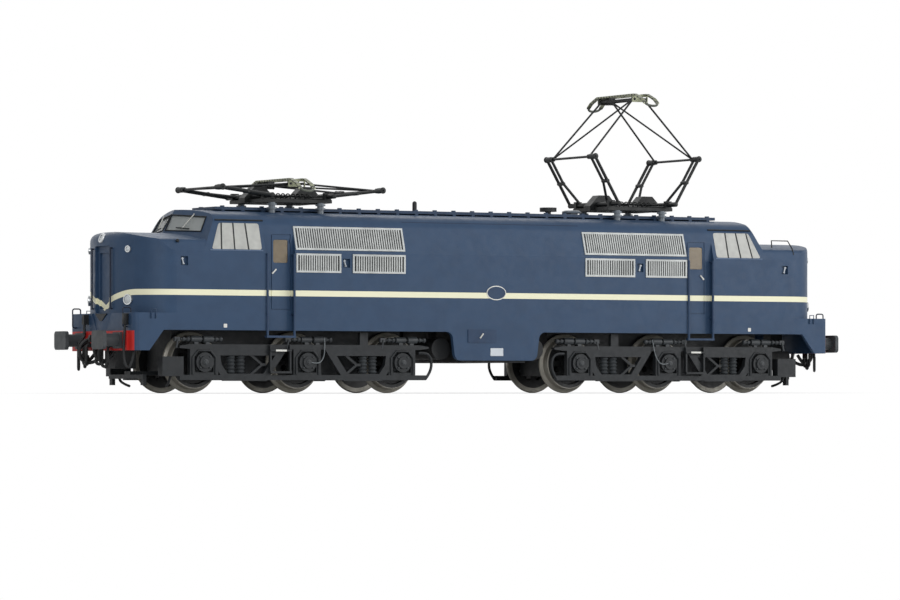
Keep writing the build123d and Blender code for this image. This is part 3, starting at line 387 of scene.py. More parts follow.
@dataclass(frozen=True)
class BodyPaint(Finish):
    """Blue paint with cream stripe, red pilot corners, darker lines along the middle of the roof and painted
    shade on the fields behind the grilles.
    """

    cream: Colour = srgb(238, 236, 206)
    red: Colour = srgb(188, 44, 40)
    # Painted shade: dark colour laid on the body behind the grilles, where only shade falls
    dark: Colour = srgb(40, 42, 44)
    # Darker blue for two lines along the roof, between the grilles
    seam: Colour = srgb(30, 44, 66)
    stripe_height: float = TREAD + 22.63
    stripe_half: float = 0.68
    stripe_soft: float = 0.04
    dip: float = 3.6
    dip_reach: float = 12.0
    dip_power: float = 1.7
    beam_top: float = TREAD + 13.6
    front_start: float = 97.6
    seam_sides: tuple[float, ...] = (12.6, 14.35)
    seam_reach: float = 25.0
    seam_half: float = 0.07
    # Limits along and in height of the painted shade behind each grille
    grille_fields: tuple[Limits, ...] = (
        (25.7, 54.9, TREAD + 33.1, TREAD + 38.3),
        (25.7, 39.6, TREAD + 27.8, TREAD + 31.9),
        (43.4, 54.9, TREAD + 27.8, TREAD + 31.9),
    )

    def paint(self, graph: Graph) -> Any:
        """Colour of the body with its painted bands.

        Args:
            graph: Node tree that the colour is built in.

        Returns:
            Output that holds the colour.
        """
        colour = super().paint(graph)
        across = graph.math(Ops.ABSOLUTE, graph.y)
        along = graph.math(Ops.ABSOLUTE, graph.x)
        share = graph.math(Ops.SUBTRACT, 1.0, graph.math(Ops.MULTIPLY, across, 1 / self.dip_reach))
        fall = graph.math(Ops.POWER, graph.math(Ops.MAXIMUM, share, 0.0), self.dip_power)
        centre = graph.math(Ops.SUBTRACT, self.stripe_height, graph.math(Ops.MULTIPLY, fall, self.dip))
        away = graph.math(Ops.ABSOLUTE, graph.math(Ops.SUBTRACT, graph.z, centre))
        edges = (self.stripe_half - self.stripe_soft, self.stripe_half + self.stripe_soft)
        band = graph.ramp(away, *edges, 1.0, 0.0)
        colour = graph.mix(band, colour, self.cream)
        low = graph.math(Ops.LESS, graph.z, self.beam_top)
        front = graph.math(Ops.GREATER, along, self.front_start)
        colour = graph.mix(graph.math(Ops.MULTIPLY, low, front), colour, self.red)
        # Two darker lines along the roof, only in the middle part between the grilles
        middle = graph.math(Ops.LESS, along, self.seam_reach)
        for side in self.seam_sides:
            line = graph.between(across, side - self.seam_half, side + self.seam_half)
            colour = graph.mix(graph.math(Ops.MULTIPLY, line, middle), colour, self.seam)
        # Painted shade on the body behind each grille
        for inner, outer_edge, bottom, top in self.grille_fields:
            grille_shade_mask = graph.math(
                Ops.MULTIPLY, graph.between(along, inner, outer_edge), graph.between(graph.z, bottom, top)
            )
            colour = graph.mix(grille_shade_mask, colour, self.dark)
        return colour


@dataclass(frozen=True)
class WheelSteel(Finish):
    """Blackened wheel disc with a bright turned tread and flange."""

    bright: Colour = srgb(150, 147, 138)
    axle_x: float = 0.0
    axle_z: float = 7.3
    rim: float = 6.05
    rim_soft: float = 0.1

    def paint(self, graph: Graph) -> Any:
        """Colour of the wheel by its distance from the axle.

        Args:
            graph: Node tree that the colour is built in.

        Returns:
            Output that holds the colour.
        """
        dark = super().paint(graph)
        east = graph.math(Ops.SUBTRACT, graph.x, self.axle_x)
        high = graph.math(Ops.SUBTRACT, graph.z, self.axle_z)
        radius = graph.math(Ops.SQRT, graph.square_sum(east, high))
        tread = graph.ramp(radius, self.rim - self.rim_soft, self.rim + self.rim_soft, 0.0, 1.0)
        return graph.mix(tread, dark, self.bright)


@dataclass(frozen=True)
class ContactStrip(Finish):
    """Pressed contact strip with painted shade in a row of punched holes."""

    # Painted shade: dark colour standing in for the shade inside the punched holes
    hole: Colour = srgb(52, 54, 46)
    pitch: float = 1.3
    hole_half: float = 0.2
    hole_soft: float = 0.08

    def paint(self, graph: Graph) -> Any:
        """Colour of the strip with painted shade in its holes.

        Args:
            graph: Node tree that the colour is built in.

        Returns:
            Output that holds the colour.
        """
        # Dark dots painted for the shade inside the holes
        wave = graph.math(Ops.PING_PONG, graph.y, self.pitch / 2)
        hole_shade_mask = graph.ramp(wave, self.hole_half, self.hole_half + self.hole_soft, 1.0, 0.0)
        return graph.mix(hole_shade_mask, super().paint(graph), self.hole)


@dataclass(frozen=True)
class Glass(Finish):
    """Clear cast pane, drawn with a share of its colour over what lies behind it."""

    cover: float = 0.3
    wave_detail: float = 1.0
    wave_bumps: float = 0.2

    def build(self) -> bpy.types.Material:
        """Make the material.

        Returns:
            The material.
        """
        graph = Graph(self.name)
        waves = graph.noise(self.grain, self.wave_detail)
        return graph.close(
            Base_Color=graph.mix(waves, self.colour, self.shade),
            Roughness=self.roughness,
            Alpha=self.cover,
            Specular_IOR_Level=self.specular,
            Normal=graph.bump(waves, self.wave_bumps, self.relief),
        )


BLUE = BodyPaint("body_blue", srgb(46, 69, 97), srgb(43, 65, 92), 0.42, specular=0.24)
TRIM_BLUE = Finish("trim_blue", srgb(42, 63, 90), srgb(37, 56, 82), 0.45, specular=0.25)
SILVER = Finish("grille_silver", srgb(184, 187, 186), srgb(168, 171, 170), 0.45, metallic=0.2, specular=0.3)
BLACK = Finish("black_fittings", srgb(30, 32, 34), srgb(24, 26, 28), 0.5, specular=0.3)
GREY = Finish("buffer_grey", srgb(68, 72, 75), srgb(58, 62, 65), 0.5, specular=0.3)
BOGIE = Finish("bogie_grey", srgb(35, 38, 41), srgb(28, 31, 34), 0.5, specular=0.3, grain=3.5, relief=0.02)
# Bogie grey made lighter on the brake gear, springs, bolts and links: a painted highlight
HIGHLIGHTED_GEAR = Finish("brake_gear", srgb(56, 60, 63), srgb(46, 49, 52), 0.46, specular=0.35, grain=3.0)
RED = Finish("beam_red", srgb(190, 44, 40), srgb(176, 38, 35), 0.42, specular=0.24)
ROOF = Finish("roof_board", srgb(48, 66, 90), srgb(42, 58, 80), 0.5, specular=0.25, grain=3.0, relief=0.02)
INSULATOR = Finish("insulator_grey", srgb(104, 113, 122), srgb(90, 99, 108), 0.3)
INTERIOR = Finish("cab_cream", srgb(226, 220, 198), srgb(212, 204, 180), 0.6)
CHROME = Finish("lamp_chrome", srgb(205, 208, 210), srgb(190, 193, 196), 0.18, metallic=0.85, relief=0.004)
LENS = Finish("lamp_lens", srgb(206, 212, 214), srgb(176, 184, 188), 0.12, coat=0.6, relief=0.004)
PANTO = Finish("pantograph_black", srgb(24, 27, 28), srgb(19, 21, 22), 0.48, specular=0.3)
LEAD = Finish("lead_grey", srgb(112, 118, 122), srgb(98, 104, 108), 0.45)
HEAD = ContactStrip("contact_strip", srgb(150, 153, 130), srgb(118, 122, 98), 0.4, metallic=0.45)
HORN = Finish("head_horn", srgb(96, 100, 92), srgb(78, 82, 74), 0.38, metallic=0.4)
IRON = Finish("drive_iron", srgb(80, 80, 80), srgb(66, 66, 66), 0.55, metallic=0.4)
RUBBER = Finish("window_rubber", srgb(24, 28, 32), srgb(19, 22, 25), 0.6, specular=0.3)
# Clear side panes drawn pale and nearly opaque: painted light for the lit cab seen through them
SIDE_PANE_PAINTED_LIGHT = Glass("window_pale", srgb(206, 207, 202), srgb(172, 174, 170), 0.2, grain=0.6, cover=0.75)
TAN = Glass("door_window_tan", srgb(128, 113, 88), srgb(104, 92, 73), 0.25, grain=0.6, cover=0.85)
RAIL_BLUE = Finish("rail_navy", srgb(26, 36, 54), srgb(22, 30, 46), 0.42, specular=0.24)
# Body blue made lighter on the window sill bar: a painted highlight
SILL_BLUE_HIGHLIGHT = Finish("sill_blue", srgb(104, 122, 148), srgb(92, 110, 136), 0.42, specular=0.24)
PALE = Finish("pale_fitting", srgb(226, 226, 220), srgb(208, 208, 202), 0.4)
PLATE = Finish("blank_plate", srgb(186, 192, 198), srgb(166, 173, 180), 0.4, metallic=0.2)
# Clear glazing drawn pale over half its cover: painted light for the light seen in the windscreens
GLAZING_PAINTED_LIGHT = Glass(
    "clear_pane", srgb(206, 211, 210), srgb(178, 185, 185), 0.08, grain=0.4, relief=0.004, cover=0.5
)
DISC = WheelSteel("wheel_disc", srgb(38, 39, 40), srgb(30, 31, 32), 0.38, metallic=0.4)

NODE_FINISHES: tuple[tuple[str, Finish], ...] = (
    ("body_shell", BLUE), ("grilles", SILVER), ("handrails", TRIM_BLUE), ("end_rails", RAIL_BLUE),
    ("chassis", BLACK), ("drive_block", IRON), ("air_tanks", BLACK), ("roof_walkway", ROOF),
    ("roof_fittings", BLACK), ("roof_insulators", INSULATOR), ("cab_glazing", GLAZING_PAINTED_LIGHT),
    ("cab_interior", INTERIOR), ("lamps", CHROME), ("buffer_beam", RED), ("buffers", GREY),
    ("coupling", BLACK), ("hoses", BLACK), ("bogie_a_brakes", HIGHLIGHTED_GEAR), ("bogie_b_brakes", HIGHLIGHTED_GEAR),
    ("bogie_a_springs", HIGHLIGHTED_GEAR), ("bogie_b_springs", HIGHLIGHTED_GEAR), ("bogie", BOGIE),
    ("panto_a_head", HEAD), ("panto_b_head", HEAD), ("panto", PANTO),
)


@dataclass
class Painter:
    """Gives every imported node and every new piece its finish."""

    nodes: dict[str, bpy.types.Object]
    made: dict[str, bpy.types.Material] = field(default_factory=dict)

    def material(self, finish: Finish) -> bpy.types.Material:
        """Material of a finish, made once.

        Args:
            finish: The finish.

        Returns:
            The material.
        """
        if finish.name not in self.made:
            self.made[finish.name] = finish.build()
        return self.made[finish.name]

    def put(self, piece: bpy.types.Object, finish: Finish) -> None:
        """Give a piece one material all over."""
        piece.data.materials.clear()
        piece.data.materials.append(self.material(finish))

    def finish_of(self, name: str) -> Finish:
        """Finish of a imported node.

        Args:
            name: Name of the node.

        Returns:
            The finish, for a wheelset one that knows its axle.
        """
        if name.startswith("wheelset"):
            low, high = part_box(name)
            middle = (low + high) / 2 / MM
            return WheelSteel(
                f"wheel_{name}", DISC.colour, DISC.shade, DISC.roughness, DISC.metallic,
                axle_x=middle.x, axle_z=middle.z,
            )
        return next(finish for prefix, finish in NODE_FINISHES if name.startswith(prefix))

    def dress(self) -> None:
        """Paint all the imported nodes."""
        for name, node in sorted(self.nodes.items()):
            finish = self.finish_of(name)
            self.put(node, finish)
            LOG.info("node %s: %s", name, finish.name)


@dataclass(frozen=True)
class BodyShape:
    """Surfaces of the body that the fittings sit on, for end b, in millimetres."""

    half: float = 17.0
    crease: float = TREAD + 32.35
    facet_slope: float = 0.2924
    nose_front: float = 98.05
    nose_bow: float = 26.0
    pilot_front: float = 97.95
    screen_foot: float = 82.0
    screen_base: float = TREAD + 36.9
    rake: float = math.radians(29.0)
    sweep: float = math.radians(16.0)

    def side(self, height: float) -> float:
        """Half width of the body side at a height."""
        return self.half - max(0.0, height - self.crease) * self.facet_slope

    def nose(self, across: float) -> float:
        """Place along the length of the nose face at a distance from the middle."""
        return self.nose_front - self.nose_bow + math.sqrt(self.nose_bow ** 2 - across ** 2)

    def screen(self, hand: int, across: float, up: float, out: float) -> Point:
        """Point on a windscreen pane.

        Args:
            hand: Sign of y of the pane.
            across: Distance from the centre pillar.
            up: Height along the pane.
            out: Distance in front of the pane.

        Returns:
            The point.
        """
        flat = math.cos(self.rake)
        steep = math.sin(self.rake)
        ahead = math.cos(self.sweep)
        aside = math.sin(self.sweep)
        normal = Vector((flat * ahead, hand * flat * aside, steep))
        level = Vector((-aside, hand * ahead, 0.0))
        rise = Vector((-steep * ahead, -hand * steep * aside, flat))
        foot = Vector((self.screen_foot, 0.0, self.screen_base))
        return tuple(foot + level * across + rise * up + normal * out)


SHAPE = BodyShape()


class Copy(Enum):
    """Ways of repeating a piece that is modelled at end b on the near side."""

    BOTH_ENDS = ((End.B, False), (End.A, False))
    BOTH_SIDES = ((End.B, False), (End.B, True))
    ALL_ROUND = ((End.B, False), (End.B, True), (End.A, False), (End.A, True))


@dataclass
class Bench:
    """Models small pieces by hand operators and hangs them on their bodies."""

    painter: Painter
    smooth_angle: float = math.radians(35)
    corner_steps: int = 3
    edge_steps: int = 2
    lip: float = 0.06
    weld: float = 0.002
    bar_steps: int = 2
    path_order: int = 3

    def start(self) -> None:
        """Leave edit mode and let go of everything."""
        if bpy.context.mode != "OBJECT":
            bpy.ops.object.mode_set(mode="OBJECT")
        bpy.ops.object.select_all(action="DESELECT")

    def keep(self, name: str, finish: Finish) -> bpy.types.Object:
        """Name the active piece, smooth it, put its place in its mesh and give it its finish.

        Args:
            name: Name of the piece.
            finish: Its finish.

        Returns:
            The piece.
        """
        piece = bpy.context.object
        bpy.ops.object.transform_apply(location=True, rotation=True, scale=True)
        bpy.ops.object.shade_smooth_by_angle(angle=self.smooth_angle)
        piece.name = name
        piece.data.name = name
        self.painter.put(piece, finish)
        return piece

    def panel(self, name: str, finish: Finish, corners: Sequence[Point], thick: float,
              corner: float = 0.0) -> bpy.types.Object:
        """Flat plate over a closed outline, raised along the outline's normal.

        Args:
            name: Name of the piece.
            finish: Its finish.
            corners: Outline in millimetres, anticlockwise seen from outside.
            thick: Thickness outwards.
            corner: Rounding of the corners.

        Returns:
            The piece.
        """
        self.start()
        bpy.ops.mesh.primitive_circle_add(vertices=len(corners), radius=MM, fill_type="NGON")
        piece = bpy.context.object
        for vertex, place in zip(piece.data.vertices, corners):
            vertex.co = Vector(place) * MM
        one, two, three = (Vector(corners[index]) for index in (0, 1, 2))
        normal = (two - one).cross(three - two).normalized()
        bpy.ops.object.mode_set(mode="EDIT")
        bpy.ops.mesh.select_all(action="SELECT")
        if corner:
            bpy.ops.mesh.bevel(offset=corner * MM, segments=self.corner_steps, affect="VERTICES")
            bpy.ops.mesh.select_all(action="SELECT")
        bpy.ops.mesh.extrude_region_move(TRANSFORM_OT_translate={"value": normal * thick * MM})
        bpy.ops.mesh.inset(thickness=min(self.lip, thick / 2) * MM)
        bpy.ops.mesh.select_all(action="SELECT")
        bpy.ops.mesh.normals_make_consistent(inside=False)
        bpy.ops.object.mode_set(mode="OBJECT")
        return self.keep(name, finish)

    def case(self, name: str, finish: Finish, low: Point, high: Point,
             edge: float = 0.12) -> bpy.types.Object:
        """Box between two corners with bevelled edges.

        Args:
            name: Name of the piece.
            finish: Its finish.
            low: Lowest corner in millimetres.
            high: Highest corner in millimetres.
            edge: Bevel of the edges.

        Returns:
            The piece.
        """
        self.start()
        middle = (Vector(low) + Vector(high)) / 2 * MM
        size = (Vector(high) - Vector(low)) * MM
        bpy.ops.mesh.primitive_cube_add(size=1.0, location=middle, scale=size)
        bpy.ops.object.transform_apply(location=True, rotation=True, scale=True)
        bpy.ops.object.mode_set(mode="EDIT")
        bpy.ops.mesh.select_all(action="SELECT")
        bpy.ops.mesh.bevel(offset=edge * MM, segments=self.edge_steps)
        bpy.ops.object.mode_set(mode="OBJECT")
        return self.keep(name, finish)

    def lathe(self, name: str, finish: Finish, start: Point, axis: Point, profile: Sequence[Pair],
              steps: int) -> bpy.types.Object:
        """Turned piece along a line.

        Args:
            name: Name of the piece.
            finish: Its finish.
            start: Start of the axis in millimetres.
            axis: Direction of the axis.
            profile: Distance along the axis and radius, from the first face to the last.
            steps: Steps round the axis.

        Returns:
            The piece.
        """
        self.start()
        line = [(0.0, profile[0][0]), *((radius, along) for along, radius in profile), (0.0, profile[-1][0])]
        bpy.ops.mesh.primitive_circle_add(vertices=len(line), radius=MM)
        piece = bpy.context.object
        for vertex, (radius, along) in zip(piece.data.vertices, line):
            vertex.co = (radius * MM, 0.0, along * MM)
        bpy.ops.object.mode_set(mode="EDIT")
        bpy.ops.mesh.select_all(action="SELECT")
        bpy.ops.mesh.spin(steps=steps, angle=2 * math.pi, center=(0.0, 0.0, 0.0), axis=(0.0, 0.0, 1.0))
        bpy.ops.mesh.select_all(action="SELECT")
        bpy.ops.mesh.remove_doubles(threshold=self.weld * MM)
        bpy.ops.mesh.select_all(action="SELECT")
        bpy.ops.mesh.normals_make_consistent(inside=False)
        bpy.ops.object.mode_set(mode="OBJECT")
        turned = Vector(axis).to_track_quat("Z", "Y").to_matrix().to_4x4()
        piece.data.transform(Matrix.Translation(Vector(start) * MM) @ turned)
        return self.keep(name, finish)

    def tube(self, name: str, finish: Finish, points: Sequence[Point], radius: float, ring: bool = False,
             round_path: bool = False) -> bpy.types.Object:
        """Bent round bar through points.

        Args:
            name: Name of the piece.
            finish: Its finish.
            points: Path in millimetres.
            radius: Radius of the bar.
            ring: True where the path closes.
            round_path: True for a smooth path, False for straight runs.

        Returns:
            The piece.
        """
        self.start()
        curve = bpy.data.curves.new(name, "CURVE")
        curve.dimensions = "3D"
        curve.bevel_depth = radius * MM
        curve.bevel_resolution = self.bar_steps
        curve.use_fill_caps = not ring
        spline = curve.splines.new("NURBS" if round_path else "POLY")
        spline.points.add(len(points) - 1)
        for target, place in zip(spline.points, points):
            target.co = (*(Vector(place) * MM), 1.0)
        spline.use_cyclic_u = ring
        if round_path:
            spline.order_u = self.path_order
            spline.use_endpoint_u = not ring
        drawn = bpy.data.objects.new(name, curve)
        bpy.context.scene.collection.objects.link(drawn)
        drawn.select_set(True)
        bpy.context.view_layer.objects.active = drawn
        bpy.ops.object.convert(target="MESH")
        return self.keep(name, finish)

    def join(self, name: str, pieces: Sequence[bpy.types.Object]) -> bpy.types.Object:
        """Join pieces of one sub-assembly into one.

        Args:
            name: Name of the joined piece.
            pieces: The pieces.

        Returns:
            The joined piece.
        """
        self.start()
        for piece in pieces:
            piece.select_set(True)
        bpy.context.view_layer.objects.active = pieces[0]
        if len(pieces) > 1:
            bpy.ops.object.join()
        pieces[0].name = name
        pieces[0].data.name = name
        return pieces[0]

    def repeat(self, piece: bpy.types.Object, ways: Copy, body: str, slot: str) -> None:
        """Copy a piece of end b's near side to the other places and hang all on their bodies.

        Args:
            piece: Piece modelled at end b on the near side.
            ways: Places that get it.
            body: Body that carries it, with {end} where its name has the end's letter.
            slot: Material slot of the record.
        """
        base = piece.name
        for end, flipped in ways.value:
            target = piece
            if (end, flipped) != (End.B, False):
                target = piece.copy()
                target.data = piece.data.copy()
                bpy.context.scene.collection.objects.link(target)
                across = -1.0 if flipped else 1.0
                target.data.transform(Matrix.Diagonal((end.value, end.value * across, 1.0, 1.0)))
                if flipped:
                    target.data.flip_normals()
            side = Side.FAR if flipped != (end is End.A) else Side.NEAR
            target.name = f"{base}_{end.letter}_{side.name.lower()}"
            target.data.name = target.name
            self.hang(target, body.format(end=end.letter), slot)

    def hang(self, piece: bpy.types.Object, body: str, slot: str) -> None:
        """Hang a finished piece on a body and report it.

        Args:
            piece: The piece.
            body: Body that carries it.
            slot: Material slot of the record; not used.
        """
        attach(piece, body)
        LOG.info("piece %s on %s", piece.name, body)


@dataclass
class CabWindows:
    """Side windows of a cab: pale pane painted for the light seen in it, mullions, sill with a painted
    highlight and rain strip.
    """

    bench: Bench
    rear: float = 64.3
    front_low: float = 77.5
    front_high: float = 74.9
    low: float = TREAD + 32.8
    high: float = TREAD + 39.0
    sunk: float = 0.03
    pane_thick: float = 0.09
    pane_corner: float = 0.5
    # Place along the length of each mullion's foot and top
    mullions: tuple[Pair, ...] = ((75.0, 74.2), (71.5, 71.1), (67.8, 67.9))
    mullion_bar: float = 0.17
    sill_drop: float = 0.2
    sill_rear: float = 0.3
    sill_front: float = 0.5
    sill_bar: float = 0.15
    strip_height: float = TREAD + 39.75
    strip_side: float = 14.74
    strip_rear: float = 1.3
    strip_front: float = 0.8
    strip_bar: float = 0.2

    def at(self, along: float, height: float, out: float) -> Point:
        """Point on the near facet of the body side, out from the surface."""
        return along, -SHAPE.side(height) - out, height

    def build(self) -> None:
        """Model the window of end b's near side and copy it all round."""
        corners = (
            self.at(self.rear, self.low, -self.sunk), self.at(self.front_low, self.low, -self.sunk),
            self.at(self.front_high, self.high, -self.sunk), self.at(self.rear, self.high, -self.sunk),
        )
        # Pale pane: painted light in the side window
        pane = self.bench.panel("cab_side_pane", SIDE_PANE_PAINTED_LIGHT, corners, self.pane_thick, self.pane_corner)
        self.bench.repeat(pane, Copy.ALL_ROUND, "body", "glass")
        out = self.pane_thick - self.sunk
        bars = []
        for foot, top in self.mullions:
            path = (self.at(foot, self.low, out), self.at(top, self.high, out))
            bars.append(self.bench.tube("mullion", RUBBER, path, self.mullion_bar))
        frame = self.bench.join("cab_window_mullions", bars)
        self.bench.repeat(frame, Copy.ALL_ROUND, "body", "black_plastic")
        level = self.low - self.sill_drop
        sill_path = (
            self.at(self.rear - self.sill_rear, level, 0.0),
            self.at(self.front_low + self.sill_front, level, 0.0),
        )
        # Sill bar in a lighter body blue, a painted highlight
        sill = self.bench.tube("cab_window_sill", SILL_BLUE_HIGHLIGHT, sill_path, self.sill_bar)
        self.bench.repeat(sill, Copy.ALL_ROUND, "body", "body_blue")
        strip_path = (
            (self.rear - self.strip_rear, -self.strip_side, self.strip_height),
            (self.front_high + self.strip_front, -self.strip_side, self.strip_height),
        )
        strip = self.bench.tube("cab_rain_strip", RUBBER, strip_path, self.strip_bar)
        self.bench.repeat(strip, Copy.ALL_ROUND, "body", "black_plastic")


@dataclass
class Windscreens:
    """Rubbers and wipers of the two windscreen panes of an end."""

    bench: Bench
    # Places on a pane: distance from the centre pillar and height along the pane
    outline: tuple[Pair, ...] = ((0.7, 0.7), (13.3, 0.1), (13.0, 4.1), (0.7, 5.0))
    rubber: float = 0.2
    rubber_out: float = 0.05
    arm: tuple[Pair, ...] = ((8.9, 4.9), (6.7, 1.2))
    arm_out: float = 0.3
    arm_bar: float = 0.12
    blade: tuple[Pair, ...] = ((4.3, 1.3), (9.0, 0.85))
    blade_out: float = 0.2
    blade_bar: float = 0.13

    def path(self, side: Side, places: Iterable[Pair], out: float) -> tuple[Point, ...]:
        """Points on a windscreen pane, out from the glass."""
        return tuple(SHAPE.screen(side.value, across, up, out) for across, up in places)

    def build(self) -> None:
        """Model both panes' fittings for end b and copy them to end a."""
        for side in Side:
            name = side.name.lower()
            edge = self.path(side, self.outline, self.rubber_out)
            ring = self.bench.tube(f"windscreen_rubber_{name}", RUBBER, edge, self.rubber, ring=True)
            self.bench.repeat(ring, Copy.BOTH_ENDS, "body", "black_plastic")
            arm = self.path(side, self.arm, self.arm_out)
            blade = self.path(side, self.blade, self.blade_out)
            wiper = self.bench.join(f"wiper_{name}", (
                self.bench.tube("wiper_arm", PALE, arm, self.arm_bar),
                self.bench.tube("wiper_blade", RUBBER, blade, self.blade_bar),
            ))
            self.bench.repeat(wiper, Copy.BOTH_ENDS, "body", "silver")


@dataclass
class Doors:
    """Window, handle and hinges of the cab doors."""

    bench: Bench
    pane: Limits = (56.85, 60.65, TREAD + 29.85, TREAD + 35.25)
    pane_side: float = 15.6
    pane_thick: float = 0.1
    pane_corner: float = 0.3
    handle: tuple[Point, ...] = ((60.9, -16.0, TREAD + 27.4), (60.0, -16.0, TREAD + 28.3))
    handle_bar: float = 0.19
    stub_side: float = 15.75
    stub: tuple[Pair, ...] = ((0.0, 0.22), (0.3, 0.22))
    hinge_place: float = 56.2
    hinge_side: float = 15.85
    hinges: tuple[float, ...] = (TREAD + 21.0, TREAD + 27.6, TREAD + 34.5)
    barrel: tuple[Pair, ...] = ((0.0, 0.15), (0.05, 0.22), (0.95, 0.22), (1.0, 0.15))
    turned_steps: int = 10

    def build(self) -> None:
        """Model the door fittings of end b's near side and copy them all round."""
        corners = near_rectangle(self.pane, -self.pane_side)
        pane = self.bench.panel("door_pane", TAN, corners, self.pane_thick, self.pane_corner)
        self.bench.repeat(pane, Copy.ALL_ROUND, "body", "glass")
        along, _, height = self.handle[0]
        seat = (along, -self.stub_side, height)
        stub = self.bench.lathe("handle_stub", PALE, seat, NEARWARD, self.stub, self.turned_steps)
        lever = self.bench.tube("handle_lever", PALE, self.handle, self.handle_bar)
        handle = self.bench.join("door_handle", (lever, stub))
        self.bench.repeat(handle, Copy.ALL_ROUND, "body", "silver")
        barrels = []
        for height in self.hinges:
            foot = (self.hinge_place, -self.hinge_side, height)
            barrel = self.bench.lathe("hinge", TRIM_BLUE, foot, UPWARD, self.barrel, self.turned_steps)
            barrels.append(barrel)
        hinges = self.bench.join("door_hinges", barrels)
        self.bench.repeat(hinges, Copy.ALL_ROUND, "body", "body_blue")


@dataclass
class Nose:
    """Lenses, top lamp, grab wires and lifting knob of a nose."""

    bench: Bench
    lamp_side: float = 10.2
    # Name of the lens, height, radius and how far the lamp ring stands out
    lamps: tuple[tuple[str, float, float, float], ...] = (
        ("headlamp_lens", TREAD + 20.9, 1.0, 0.5), ("marker_lens", TREAD + 32.7, 0.55, 0.4),
    )
    # Dome of a lens: distance from the ring's edge and share of the radius
    dome: tuple[Pair, ...] = ((-0.16, 1.0), (-0.08, 0.9), (0.12, 0.5))
    lens_steps: int = 20
    top_lamp: Point = (97.45, 0.0, TREAD + 35.3)
    top_axis: Point = (1.0, 0.0, 0.35)
    top_rim: tuple[Pair, ...] = ((0.0, 1.25), (0.55, 1.25), (0.75, 1.1), (0.75, 0.8), (0.4, 0.75))
    top_rim_steps: int = 24
    top_glass: tuple[Pair, ...] = ((0.3, 0.85), (0.55, 0.75), (0.68, 0.4))
    grab: tuple[Point, ...] = (
        (82.4, -14.7, TREAD + 35.6), (82.4, -14.5, TREAD + 37.4), (87.5, -14.3, TREAD + 37.4),
        (87.8, -15.9, TREAD + 35.4), (87.8, -16.5, TREAD + 33.9), (87.8, -16.1, TREAD + 33.7),
    )
    grab_bar: float = 0.16
    knob: Point = (86.4, 16.1, TREAD + 34.4)
    knob_axis: Point = (0.0, 1.0, 0.5)
    knob_profile: tuple[Pair, ...] = ((0.0, 0.3), (0.35, 0.3), (0.4, 0.42), (0.7, 0.42), (0.85, 0.25))
    knob_steps: int = 12
    side_grab: tuple[Point, ...] = (
        (93.5, -16.8, TREAD + 16.4), (93.5, -17.2, TREAD + 16.6), (93.5, -17.2, TREAD + 18.6),
        (92.3, -17.2, TREAD + 18.6), (92.3, -17.2, TREAD + 16.6), (92.3, -16.8, TREAD + 16.4),
    )
    side_grab_bar: float = 0.13

    def lens(self, name: str, height: float, radius: float, reach: float, side: Side) -> bpy.types.Object:
        """Domed lens in a lamp ring.

        Args:
            name: Name of the piece.
            height: Height of the lamp.
            radius: Radius of the lens.
            reach: How far the lamp ring stands out.
            side: Side of the nose.

        Returns:
            The piece.
        """
        across = side.value * self.lamp_side
        along = SHAPE.nose(self.lamp_side)
        axis = (along - SHAPE.nose_front + SHAPE.nose_bow, across, 0.0)
        profile = tuple((reach + out, radius * share) for out, share in self.dome)
        foot = (along, across, height)
        return self.bench.lathe(f"{name}_{side.name.lower()}", LENS, foot, axis, profile, self.lens_steps)

    def build(self) -> None:
        """Model the nose fittings of end b and copy them to end a."""
        for name, height, radius, reach in self.lamps:
            for side in Side:
                lens = self.lens(name, height, radius, reach, side)
                self.bench.repeat(lens, Copy.BOTH_ENDS, "body", "lamp")
        top = (self.top_lamp, self.top_axis)
        ring = self.bench.lathe("top_lamp_ring", CHROME, *top, self.top_rim, self.top_rim_steps)
        self.bench.repeat(ring, Copy.BOTH_ENDS, "body", "lamp")
        lens = self.bench.lathe("top_lamp_lens", LENS, *top, self.top_glass, self.lens_steps)
        self.bench.repeat(lens, Copy.BOTH_ENDS, "body", "lamp")
        wire = self.bench.tube("nose_grab_wire", BLACK, self.grab, self.grab_bar)
        self.bench.repeat(wire, Copy.BOTH_ENDS, "body", "black_plastic")
        knob = self.bench.lathe(
            "nose_lifting_knob", BLACK, self.knob, self.knob_axis, self.knob_profile, self.knob_steps
        )
        self.bench.repeat(knob, Copy.BOTH_ENDS, "body", "black_plastic")
        grab = self.bench.tube("pilot_side_grab", TRIM_BLUE, self.side_grab, self.side_grab_bar)
        self.bench.repeat(grab, Copy.ALL_ROUND, "body", "body_blue")


